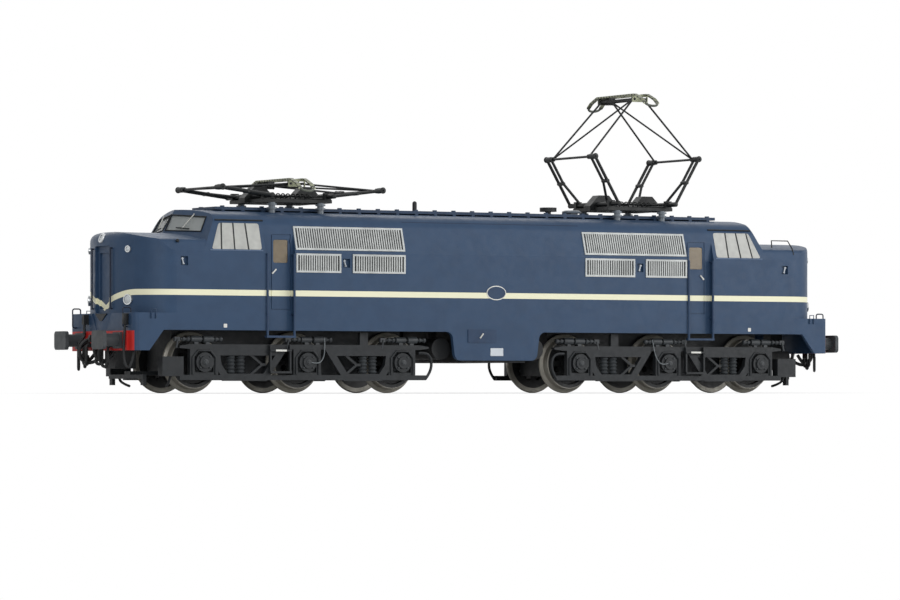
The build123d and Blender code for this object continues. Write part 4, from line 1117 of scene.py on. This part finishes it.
@dataclass
class BodySides:
    """Blank plates, skirt hatch, niche levers and labels on the body sides."""

    bench: Bench
    seat: float = 0.02
    corner: float = 0.15
    oval_height: float = TREAD + 23.3
    oval_wide: float = 2.75
    oval_tall: float = 1.75
    oval_corners: int = 28
    # Name, finish, distance from the rim's edge and thickness of each oval
    ovals: tuple[tuple[str, Finish, float, float], ...] = (
        ("oval_plate_rim", PALE, 0.0, 0.14), ("oval_plate", TRIM_BLUE, 0.22, 0.18),
    )
    hatch: Limits = (-8.0, 0.0, TREAD + 11.2, TREAD + 14.4)
    hatch_thick: float = 0.2
    hatch_handle: tuple[Pair, ...] = ((-4.7, TREAD + 12.3), (-3.8, TREAD + 13.4))
    hatch_handle_out: float = 0.28
    hatch_handle_bar: float = 0.18
    skirt_plate: Limits = (-1.66, 1.94, TREAD + 8.0, TREAD + 9.9)
    skirt_plate_thick: float = 0.12
    label: Limits = (73.6, 74.5, TREAD + 14.4, TREAD + 15.3)
    label_thick: float = 0.06
    niches: tuple[float, ...] = (84.8, 41.5)
    niche_in: float = 0.5
    niche_height: float = TREAD + 29.15
    lever_axis: Point = (0.3, 0.0, 1.0)
    lever: tuple[Pair, ...] = ((0.0, 0.3), (0.25, 0.3), (0.3, 0.2), (1.2, 0.2), (1.25, 0.34), (1.6, 0.34))
    lever_steps: int = 12

    def plate(self, name: str, finish: Finish, limits: Limits, thick: float) -> bpy.types.Object:
        """Flat plate on the near side.

        Args:
            name: Name of the piece.
            finish: Its finish.
            limits: Limits along and in height.
            thick: Thickness.

        Returns:
            The piece.
        """
        corners = near_rectangle(limits, -SHAPE.half + self.seat)
        return self.bench.panel(name, finish, corners, thick, self.corner)

    def oval(self, shrink: float) -> list[Point]:
        """Outline of the oval plate on the near side.

        Args:
            shrink: Distance in from the rim's edge.

        Returns:
            The outline's corners.
        """
        corners = []
        for index in range(self.oval_corners):
            turn = 2 * math.pi * index / self.oval_corners
            along = (self.oval_wide - shrink) * math.cos(turn)
            height = self.oval_height + (self.oval_tall - shrink) * math.sin(turn)
            corners.append((along, -SHAPE.half + self.seat, height))
        return corners

    def build(self) -> None:
        """Model the fittings of the near side and copy them to the far side."""
        for name, finish, shrink, thick in self.ovals:
            plate = self.bench.panel(name, finish, self.oval(shrink), thick)
            self.bench.repeat(plate, Copy.BOTH_SIDES, "body", "silver")
        hatch = self.plate("skirt_hatch", TRIM_BLUE, self.hatch, self.hatch_thick)
        self.bench.repeat(hatch, Copy.BOTH_SIDES, "body", "body_blue")
        path = tuple((along, -SHAPE.half - self.hatch_handle_out, high) for along, high in self.hatch_handle)
        handle = self.bench.tube("hatch_handle", PALE, path, self.hatch_handle_bar)
        self.bench.repeat(handle, Copy.BOTH_SIDES, "body", "silver")
        plate = self.plate("skirt_plate", PLATE, self.skirt_plate, self.skirt_plate_thick)
        self.bench.repeat(plate, Copy.BOTH_SIDES, "body", "silver")
        label = self.plate("blank_label", PALE, self.label, self.label_thick)
        self.bench.repeat(label, Copy.ALL_ROUND, "body", "silver")
        for index, place in enumerate(self.niches):
            foot = (place, -SHAPE.half + self.niche_in, self.niche_height)
            lever = self.bench.lathe(
                f"niche_lever_{index}", PLATE, foot, self.lever_axis, self.lever, self.lever_steps
            )
            self.bench.repeat(lever, Copy.ALL_ROUND, "body", "silver")


@dataclass
class Roof:
    """Cover disc on the roof."""

    bench: Bench
    disc: Point = (30.5, -2.5, TREAD + 43.1)
    disc_profile: tuple[Pair, ...] = (
        (0.0, 1.6), (0.5, 1.6), (0.6, 2.3), (1.0, 2.4), (1.25, 1.9), (1.35, 0.6),
    )
    disc_steps: int = 24

    def build(self) -> None:
        """Model the roof fittings."""
        cover = self.bench.lathe(
            "roof_cover_disc", INSULATOR, self.disc, UPWARD, self.disc_profile, self.disc_steps
        )
        self.bench.hang(cover, "body", "insulator")


@dataclass
class Pilot:
    """Jumper plug with its lead, pipe loops and coupler funnel at an end."""

    bench: Bench
    plug_low: Point = (97.9, 13.2, TREAD + 15.0)
    plug_high: Point = (99.2, 14.3, TREAD + 17.6)
    lead: tuple[Point, ...] = (
        (98.6, 13.75, TREAD + 15.2), (98.9, 13.75, TREAD + 12.5), (99.1, 13.9, TREAD + 7.6),
        (98.7, 14.4, TREAD + 5.0), (97.4, 14.6, TREAD + 5.2), (96.6, 14.6, TREAD + 9.2),
    )
    lead_bar: float = 0.3
    loops: tuple[tuple[Point, ...], ...] = (
        (
            (98.4, 3.4, TREAD + 11.8), (100.8, 3.4, TREAD + 11.6), (102.0, 3.8, TREAD + 9.6),
            (101.2, 4.2, TREAD + 6.9), (98.8, 4.6, TREAD + 6.4), (97.2, 4.8, TREAD + 8.6),
        ),
        (
            (98.4, 5.6, TREAD + 10.9), (100.2, 5.6, TREAD + 10.7), (101.4, 5.4, TREAD + 8.9),
            (100.8, 4.8, TREAD + 6.6), (99.0, 3.0, TREAD + 5.9), (97.0, 2.2, TREAD + 7.4),
        ),
    )
    loop_bar: float = 0.42
    # Place across and height above the treads of the funnel's corners
    funnel: tuple[Pair, ...] = ((-3.0, 17.7), (-0.6, 16.0), (0.6, 16.0), (3.0, 17.7))
    funnel_sunk: float = 0.05
    funnel_thick: float = 0.3
    funnel_corner: float = 0.1

    def build(self) -> None:
        """Model the pilot fittings of end b and copy them to end a."""
        plug = self.bench.join("jumper_plug", (
            self.bench.case("plug_box", BLACK, self.plug_low, self.plug_high),
            self.bench.tube("plug_lead", BLACK, self.lead, self.lead_bar, round_path=True),
        ))
        self.bench.repeat(plug, Copy.BOTH_ENDS, "body", "black_plastic")
        for index, path in enumerate(self.loops):
            loop = self.bench.tube(f"moulded_pipe_{index}", BLACK, path, self.loop_bar, round_path=True)
            self.bench.repeat(loop, Copy.ALL_ROUND, "body", "black_plastic")
        face = SHAPE.pilot_front - self.funnel_sunk
        corners = [(face, side, TREAD + height) for side, height in self.funnel]
        funnel = self.bench.panel("coupler_funnel", BLACK, corners, self.funnel_thick, self.funnel_corner)
        self.bench.repeat(funnel, Copy.BOTH_ENDS, "body", "black_plastic")


@dataclass
class BogieSides:
    """Bolts, ridges, brake links, pipes and tread edges on the side frames of a bogie."""

    bench: Bench
    # Place of each axle and shift of its brake links
    axles: tuple[Pair, ...] = ((25.2, -1.4), (51.1, -1.5), (78.6, 0.4))
    axle_height: float = 7.3
    face: float = 15.0
    bolt_place: float = 1.25
    bolt_out: float = 0.4
    bolt: tuple[Pair, ...] = ((0.0, 0.26), (0.3, 0.26), (0.4, 0.15))
    bolt_steps: int = 8
    boss_out: float = 0.85
    boss: tuple[Pair, ...] = ((0.0, 0.75), (0.15, 0.7), (0.2, 0.45), (0.35, 0.4))
    boss_steps: int = 14
    ridge: tuple[Pair, ...] = (
        (-3.0, TREAD + 3.4), (-3.0, TREAD + 7.4), (-1.6, TREAD + 9.0),
        (1.6, TREAD + 9.0), (3.0, TREAD + 7.4), (3.0, TREAD + 3.4),
    )
    ridge_out: float = 0.05
    ridge_bar: float = 0.3
    brake_side: float = 14.3
    brake_height: float = TREAD + 11.7
    link: tuple[Pair, ...] = (
        (0.0, 0.3), (0.2, 0.6), (0.7, 0.6), (0.9, 0.32), (1.2, 0.32),
        (1.4, 0.55), (1.9, 0.55), (2.1, 0.3), (2.4, 0.3),
    )
    link_starts: tuple[float, ...] = (-5.4, 3.2)
    link_out: float = 0.2
    link_steps: int = 10
    hanger_top: float = 6.4
    hanger_out: float = 0.5
    hanger_foot: Point = (6.9, -14.9, TREAD + 9.6)
    hanger_bar: float = 0.25
    lead: tuple[Point, ...] = (
        (50.4, -15.95, 7.3), (48.6, -16.0, 6.9), (47.2, -15.9, 8.2),
        (46.6, -15.5, 10.4), (46.4, -15.0, 13.2),
    )
    lead_bar: float = 0.12
    end_pipe: tuple[Point, ...] = (
        (20.6, -14.9, 9.6), (18.4, -15.0, 9.8), (17.0, -15.0, 8.2), (17.1, -14.9, 5.2), (18.6, -14.8, 3.4),
    )
    end_pipe_bar: float = 0.35
    sand_pipe: tuple[Point, ...] = (
        (86.6, -13.8, 5.0), (86.9, -13.4, 3.2), (86.3, -11.4, 2.1), (85.9, -9.6, 1.7),
    )
    sand_pipe_bar: float = 0.32
    tread: Limits = (57.2, 60.1, TREAD + 8.88, TREAD + 9.32)
    tread_out: float = 1.08
    tread_thick: float = 0.06

    def boxes(self) -> bpy.types.Object:
        """Bolts, boss and ridge of the three axleboxes.

        Returns:
            The joined piece.
        """
        pieces = []
        for axle, _ in self.axles:
            for along in (-self.bolt_place, self.bolt_place):
                for up in (-self.bolt_place, self.bolt_place):
                    foot = (axle + along, -self.face - self.bolt_out, self.axle_height + up)
                    pieces.append(self.bench.lathe("bolt", HIGHLIGHTED_GEAR, foot, NEARWARD, self.bolt, self.bolt_steps))
            foot = (axle, -self.face - self.boss_out, self.axle_height)
            pieces.append(self.bench.lathe("boss", HIGHLIGHTED_GEAR, foot, NEARWARD, self.boss, self.boss_steps))
            path = tuple((axle + along, -self.face - self.ridge_out, up) for along, up in self.ridge)
            pieces.append(self.bench.tube("ridge", BOGIE, path, self.ridge_bar))
        return self.bench.join("axlebox_fittings", pieces)

    def links(self) -> bpy.types.Object:
        """Beaded links and hangers of the brake rods.

        Returns:
            The joined piece.
        """
        pieces = []
        for axle, shift in self.axles:
            place = axle + shift
            for start in self.link_starts:
                foot = (place + start, -self.brake_side - self.link_out, self.brake_height)
                pieces.append(self.bench.lathe("link", HIGHLIGHTED_GEAR, foot, FORWARD, self.link, self.link_steps))
            along, side, height = self.hanger_foot
            top = (place + self.hanger_top, -self.brake_side - self.hanger_out, self.brake_height)
            hanger = (top, (place + along, side, height))
            pieces.append(self.bench.tube("hanger", HIGHLIGHTED_GEAR, hanger, self.hanger_bar))
        return self.bench.join("brake_links", pieces)

    def build(self) -> None:
        """Model the near side of bogie b and copy it all round."""
        body = "bogie_{end}"
        self.bench.repeat(self.boxes(), Copy.ALL_ROUND, body, "bogie_black")
        self.bench.repeat(self.links(), Copy.ALL_ROUND, body, "bogie_black")
        lead = self.bench.tube("axlebox_lead", LEAD, self.lead, self.lead_bar, round_path=True)
        self.bench.repeat(lead, Copy.ALL_ROUND, body, "silver")
        pipes = self.bench.join("bogie_pipes", (
            self.bench.tube("end_pipe", BOGIE, self.end_pipe, self.end_pipe_bar, round_path=True),
            self.bench.tube("sand_pipe", BOGIE, self.sand_pipe, self.sand_pipe_bar, round_path=True),
        ))
        self.bench.repeat(pipes, Copy.ALL_ROUND, body, "bogie_black")
        corners = near_rectangle(self.tread, -self.face - self.tread_out)
        tread = self.bench.panel("tread_edge", PALE, corners, self.tread_thick)
        self.bench.repeat(tread, Copy.ALL_ROUND, body, "silver")


# Letter, place along the length and rise of the lower arms at rest, in degrees
PANTOGRAPHS: tuple[tuple[str, float, float], ...] = (("a", -50.2, 7.0), ("b", 47.2, 59.0))


@dataclass
class Pantograph:
    """Lower arms, springs, braces and head fittings of one pantograph at its rest pose."""

    bench: Bench
    letter: str
    middle: float
    lower_turn: float
    base_half: float = 8.4
    base_height: float = TREAD + 46.1
    lower_length: float = 13.4
    head_half: float = 1.6
    folded_turn: float = 7.0
    upper_rise: float = 1.3
    outer_side: float = 11.35
    inner_side: float = 9.35
    heel_side: float = 6.2
    block_side: float = 9.05
    pin_past: float = 0.4
    clip_share: float = 0.48
    outer_bar: float = 0.4
    inner_bar: float = 0.36
    heel_bar: float = 0.34
    # Radius, radius at the ends and length of the ends' taper
    shaft: Sizes = (0.6, 0.4, 0.12)
    pin: Sizes = (0.3, 0.2, 0.1)
    block: tuple[Pair, ...] = ((0.0, 0.5), (0.12, 0.68), (2.3, 0.68), (2.42, 0.78), (2.6, 0.78), (2.7, 0.5))
    clip: tuple[Pair, ...] = ((0.0, 0.36), (0.1, 0.48), (2.6, 0.48), (2.7, 0.36))
    turned_steps: int = 14
    spring_sides: Pair = (-4.2, 4.2)
    spring_half: float = 6.0
    spring_rise: float = 0.1
    spring_radius: float = 0.55
    spring_turns: int = 9
    spring_steps: int = 8
    wire_bar: float = 0.16
    rod_half: float = 8.6
    rod_bar: float = 0.22
    brace_side: float = 7.6
    brace_drop: float = 0.6
    brace_bar: float = 0.35
    head_rise: float = 0.9
    # Place along, across and in height of a horn loop's points, from the middle of the strips
    horn: tuple[Point, ...] = (
        (-1.8, 12.6, -1.75), (-1.8, 13.7, -2.6), (0.0, 14.2, -3.0), (1.8, 13.7, -2.6), (1.8, 12.6, -1.75),
    )
    horn_bar: float = 0.3
    box_low: Point = (-1.0, 4.9, -1.7)
    box_high: Point = (1.0, 6.9, 0.1)

    def knee(self, hand: int, share: float = 1.0) -> Pair:
        """Place along and height of a point on a lower arm.

        Args:
            hand: Sign of the arm's direction.
            share: Share of the arm's length from its pivot.

        Returns:
            Place along the length and height.
        """
        turn = math.radians(self.lower_turn)
        reach = self.lower_length * share
        out = self.base_half + reach * math.cos(turn)
        return self.middle + hand * out, self.base_height + reach * math.sin(turn)

    def top(self) -> float:
        """Height of the top pins.

        Returns:
            The height.
        """
        folded = math.cos(math.radians(self.folded_turn))
        reach = self.base_half + self.lower_length * folded - self.head_half
        length = math.hypot(reach, self.upper_rise)
        along, height = self.knee(1)
        return height + math.sqrt(length ** 2 - (along - self.middle - self.head_half) ** 2)

    def cross_tube(self, sizes: Sizes, place: Pair) -> bpy.types.Object:
        """Tube across the pantograph, tapered at both ends.

        Args:
            sizes: Radius, radius at the ends and length of the taper.
            place: Place along the length and height.

        Returns:
            The piece.
        """
        radius, end, taper = sizes
        along, height = place
        half = self.outer_side + self.pin_past
        profile = ((0.0, end), (taper, radius), (2 * half - taper, radius), (2 * half, end))
        start = (along, -half, height)
        return self.bench.lathe("cross_tube", PANTO, start, FARWARD, profile, self.turned_steps)

    def arm_side(self, side: Side, foot: Pair, middle: Pair, knee: Pair) -> list[bpy.types.Object]:
        """Tubes, clip and knee block at one side of a lower arm.

        Args:
            side: Side of the arm.
            foot: Place along and height of the pivot.
            middle: The same of the clip.
            knee: The same of the knee.

        Returns:
            The pieces.
        """
        pieces = []
        runs = (
            (foot, self.outer_side, knee, self.outer_side, self.outer_bar),
            (middle, self.inner_side, knee, self.inner_side, self.inner_bar),
            (foot, self.heel_side, middle, self.inner_side, self.heel_bar),
        )
        for start, start_side, end, end_side, radius in runs:
            path = (
                (start[0], side.value * start_side, start[1]), (end[0], side.value * end_side, end[1]),
            )
            pieces.append(self.bench.tube("arm_tube", PANTO, path, radius))
        outward = (0.0, float(side.value), 0.0)
        for profile, (along, height) in ((self.clip, middle), (self.block, knee)):
            seat = (along, side.value * self.block_side, height)
            pieces.append(self.bench.lathe("arm_block", PANTO, seat, outward, profile, self.turned_steps))
        return pieces

    def arms(self) -> None:
        """Lower arms with paired tubes, clips and knee blocks, in place of the plain ones."""
        for name, hand in (("first", -1), ("second", 1)):
            foot, middle, knee = (self.knee(hand, share) for share in (0.0, self.clip_share, 1.0))
            pieces = [self.cross_tube(self.shaft, foot), self.cross_tube(self.pin, knee)]
            for side in Side:
                pieces.extend(self.arm_side(side, foot, middle, knee))
            arm = self.bench.join(f"panto_{self.letter}_lower_{name}_arm", pieces)
            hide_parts(f"panto_{self.letter}_lower_{name}")
            self.bench.hang(arm, f"panto_{self.letter}_lower_{name}", "panto_grey")

    def springs(self) -> None:
        """Lifting springs on their rods, and the crossed braces of the base."""
        pieces = []
        count = self.spring_turns * self.spring_steps
        level = self.base_height + self.spring_rise
        for side in self.spring_sides:
            coil = []
            for index in range(count + 1):
                turn = 2 * math.pi * index / self.spring_steps
                along = self.middle - self.spring_half + 2 * self.spring_half * index / count
                across = side + self.spring_radius * math.cos(turn)
                coil.append((along, across, level + self.spring_radius * math.sin(turn)))
            pieces.append(self.bench.tube("coil", PANTO, coil, self.wire_bar))
            rod = ((self.middle - self.rod_half, side, level), (self.middle + self.rod_half, side, level))
            pieces.append(self.bench.tube("spring_rod", PANTO, rod, self.rod_bar))
        low = self.base_height - self.brace_drop
        for hand in (-1, 1):
            brace = (
                (self.middle - self.base_half, hand * self.brace_side, low),
                (self.middle + self.base_half, -hand * self.brace_side, low),
            )
            pieces.append(self.bench.tube("brace", PANTO, brace, self.brace_bar))
        spring = self.bench.join(f"panto_{self.letter}_springs", pieces)
        self.bench.hang(spring, "body", "panto_grey")

    def head(self) -> None:
        """Horn loops and the box under the contact strips."""
        level = self.top() + self.head_rise
        body = f"panto_{self.letter}_head"
        pieces = []
        for side in Side:
            path = tuple(
                (self.middle + along, side.value * across, level + up) for along, across, up in self.horn
            )
            pieces.append(self.bench.tube("horn_loop", HORN, path, self.horn_bar, round_path=True))
        horns = self.bench.join(f"panto_{self.letter}_horn_loops", pieces)
        self.bench.hang(horns, body, "panto_grey")
        low, high = (
            (self.middle + along, across, level + up) for along, across, up in (self.box_low, self.box_high)
        )
        box = self.bench.case(f"panto_{self.letter}_head_box", PANTO, low, high)
        self.bench.hang(box, body, "panto_grey")

    def build(self) -> None:
        """Model all the fittings of this pantograph."""
        self.arms()
        self.springs()
        self.head()


@dataclass(frozen=True)
class Lamp:
    """A soft box lamp: its name, place and edge in metres, and power in watts."""

    name: str
    place: Point
    size: float
    power: float


@dataclass
class Studio:
    """Pale floor, soft light and the camera at the photo's angle."""

    azimuth: float = 0.5302
    distance: float = 1126.0
    offset: float = 2.62
    focal: float = 4580.0
    width: float = 900.0
    horizon: float = 89.0
    sensor: float = 36.0
    clip: Pair = (0.01, 50.0)
    floor_half: float = 0.32
    floor_tones: Pair = (0.94, 0.96)
    floor_grain: float = 0.02
    floor_detail: float = 2.0
    floor_roughness: float = 0.9
    floor_specular: float = 0.1
    shadow_reach: Pair = (135.0, 60.0)
    shadow_fade: Pair = (0.5, 0.95)
    sky: float = 0.37
    aim: Point = (0.0, 0.0, 0.03)
    lamps: tuple[Lamp, ...] = (
        Lamp("key", (-0.5, -0.95, 0.45), 0.7, 4.1),
        Lamp("fill", (0.6, -0.6, 0.24), 0.6, 3.5),
        Lamp("back", (0.2, 0.9, 0.8), 0.8, 1.5),
    )

    def camera(self) -> None:
        """Place the camera level with the wheel treads, shifted up."""
        data = bpy.data.cameras.new("camera")
        camera = bpy.data.objects.new("camera", data)
        bpy.context.scene.collection.objects.link(camera)
        turn = self.azimuth
        east = -self.distance * math.sin(turn) - self.offset * math.cos(turn)
        north = -self.distance * math.cos(turn) + self.offset * math.sin(turn)
        camera.location = (east * MM, north * MM, TREAD * MM)
        camera.rotation_euler = (math.pi / 2, 0.0, -turn)
        data.sensor_width = self.sensor
        data.lens = self.sensor * self.focal / self.width
        data.shift_y = self.horizon / self.width
        data.clip_start, data.clip_end = self.clip
        bpy.context.scene.camera = camera

    def light(self, lamp: Lamp) -> None:
        """Add one soft box lamp that points at the model.

        Args:
            lamp: The lamp's place, size and power.
        """
        data = bpy.data.lights.new(lamp.name, "AREA")
        data.size = lamp.size
        data.energy = lamp.power
        stand = bpy.data.objects.new(lamp.name, data)
        bpy.context.scene.collection.objects.link(stand)
        stand.location = lamp.place
        stand.rotation_euler = (Vector(self.aim) - Vector(lamp.place)).to_track_quat("-Z", "Y").to_euler()

    def world(self) -> None:
        """Even sky that camera, mirror and glass rays see as white."""
        world = bpy.data.worlds.new("studio")
        bpy.context.scene.world = world
        world.use_nodes = True
        tree = world.node_tree
        tree.nodes.clear()
        path = tree.nodes.new("ShaderNodeLightPath")
        seen = path.outputs["Is Camera Ray"]
        for key in ("Is Glossy Ray", "Is Transmission Ray"):
            node = tree.nodes.new("ShaderNodeMath")
            node.operation = "MAXIMUM"
            tree.links.new(seen, node.inputs[0])
            tree.links.new(path.outputs[key], node.inputs[1])
            seen = node.outputs[0]
        mix = tree.nodes.new("ShaderNodeMixShader")
        tree.links.new(seen, mix.inputs[0])
        for index, strength in enumerate((self.sky, 1.0), start=1):
            glow = tree.nodes.new("ShaderNodeBackground")
            glow.inputs["Color"].default_value = (1.0, 1.0, 1.0, 1.0)
            glow.inputs["Strength"].default_value = strength
            tree.links.new(glow.outputs[0], mix.inputs[index])
        output = tree.nodes.new("ShaderNodeOutputWorld")
        tree.links.new(mix.outputs[0], output.inputs[0])

    def floor_paint(self) -> bpy.types.Material:
        """Matt white near the model, where its shadow falls, and plain white to the camera further out.

        Returns:
            The material.
        """
        graph = Graph("floor_white")
        dark, pale = ((tone, tone, tone) for tone in self.floor_tones)
        tint = graph.mix(graph.noise(self.floor_grain, self.floor_detail), dark, pale)
        material = graph.close(
            Base_Color=tint, Roughness=self.floor_roughness, Specular_IOR_Level=self.floor_specular
        )
        along = graph.math(Ops.MULTIPLY, graph.x, 1 / self.shadow_reach[0])
        across = graph.math(Ops.MULTIPLY, graph.y, 1 / self.shadow_reach[1])
        path = graph.tree.nodes.new("ShaderNodeLightPath")
        fade = graph.ramp(graph.square_sum(along, across), *self.shadow_fade, 0.0, 1.0)
        share = graph.math(Ops.MULTIPLY, fade, path.outputs["Is Camera Ray"])
        glow = graph.tree.nodes.new("ShaderNodeEmission")
        mix = graph.tree.nodes.new("ShaderNodeMixShader")
        output = next(node for node in graph.tree.nodes if node.type == "OUTPUT_MATERIAL")
        matt = output.inputs["Surface"].links[0].from_socket
        graph.link(share, mix.inputs[0])
        graph.link(matt, mix.inputs[1])
        graph.link(glow.outputs[0], mix.inputs[2])
        graph.link(mix.outputs[0], output.inputs["Surface"])
        return material

    def floor(self) -> None:
        """Pale matt floor under the wheels."""
        bpy.ops.object.select_all(action="DESELECT")
        bpy.ops.mesh.primitive_plane_add(size=2 * self.floor_half, location=(0, 0, 0))
        floor = bpy.context.object
        floor.name = "studio_floor"
        floor.data.materials.append(self.floor_paint())

    def build(self) -> None:
        """Set up the whole studio."""
        bpy.context.scene.view_settings.view_transform = "Standard"
        self.camera()
        self.world()
        for lamp in self.lamps:
            self.light(lamp)
        self.floor()


def main() -> None:
    """Load the frame, dress it and set the studio."""
    logging.basicConfig(level=logging.INFO, format="%(name)s: %(message)s")
    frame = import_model()
    painter = Painter(frame["nodes"])
    painter.dress()
    bench = Bench(painter)
    for group in (CabWindows, Windscreens, Doors, Nose, BodySides, Roof, Pilot, BogieSides):
        group(bench).build()
    for letter, middle, lower_turn in PANTOGRAPHS:
        Pantograph(bench, letter, middle, lower_turn).build()
    Studio().build()


if __name__ == "__main__":
    main()
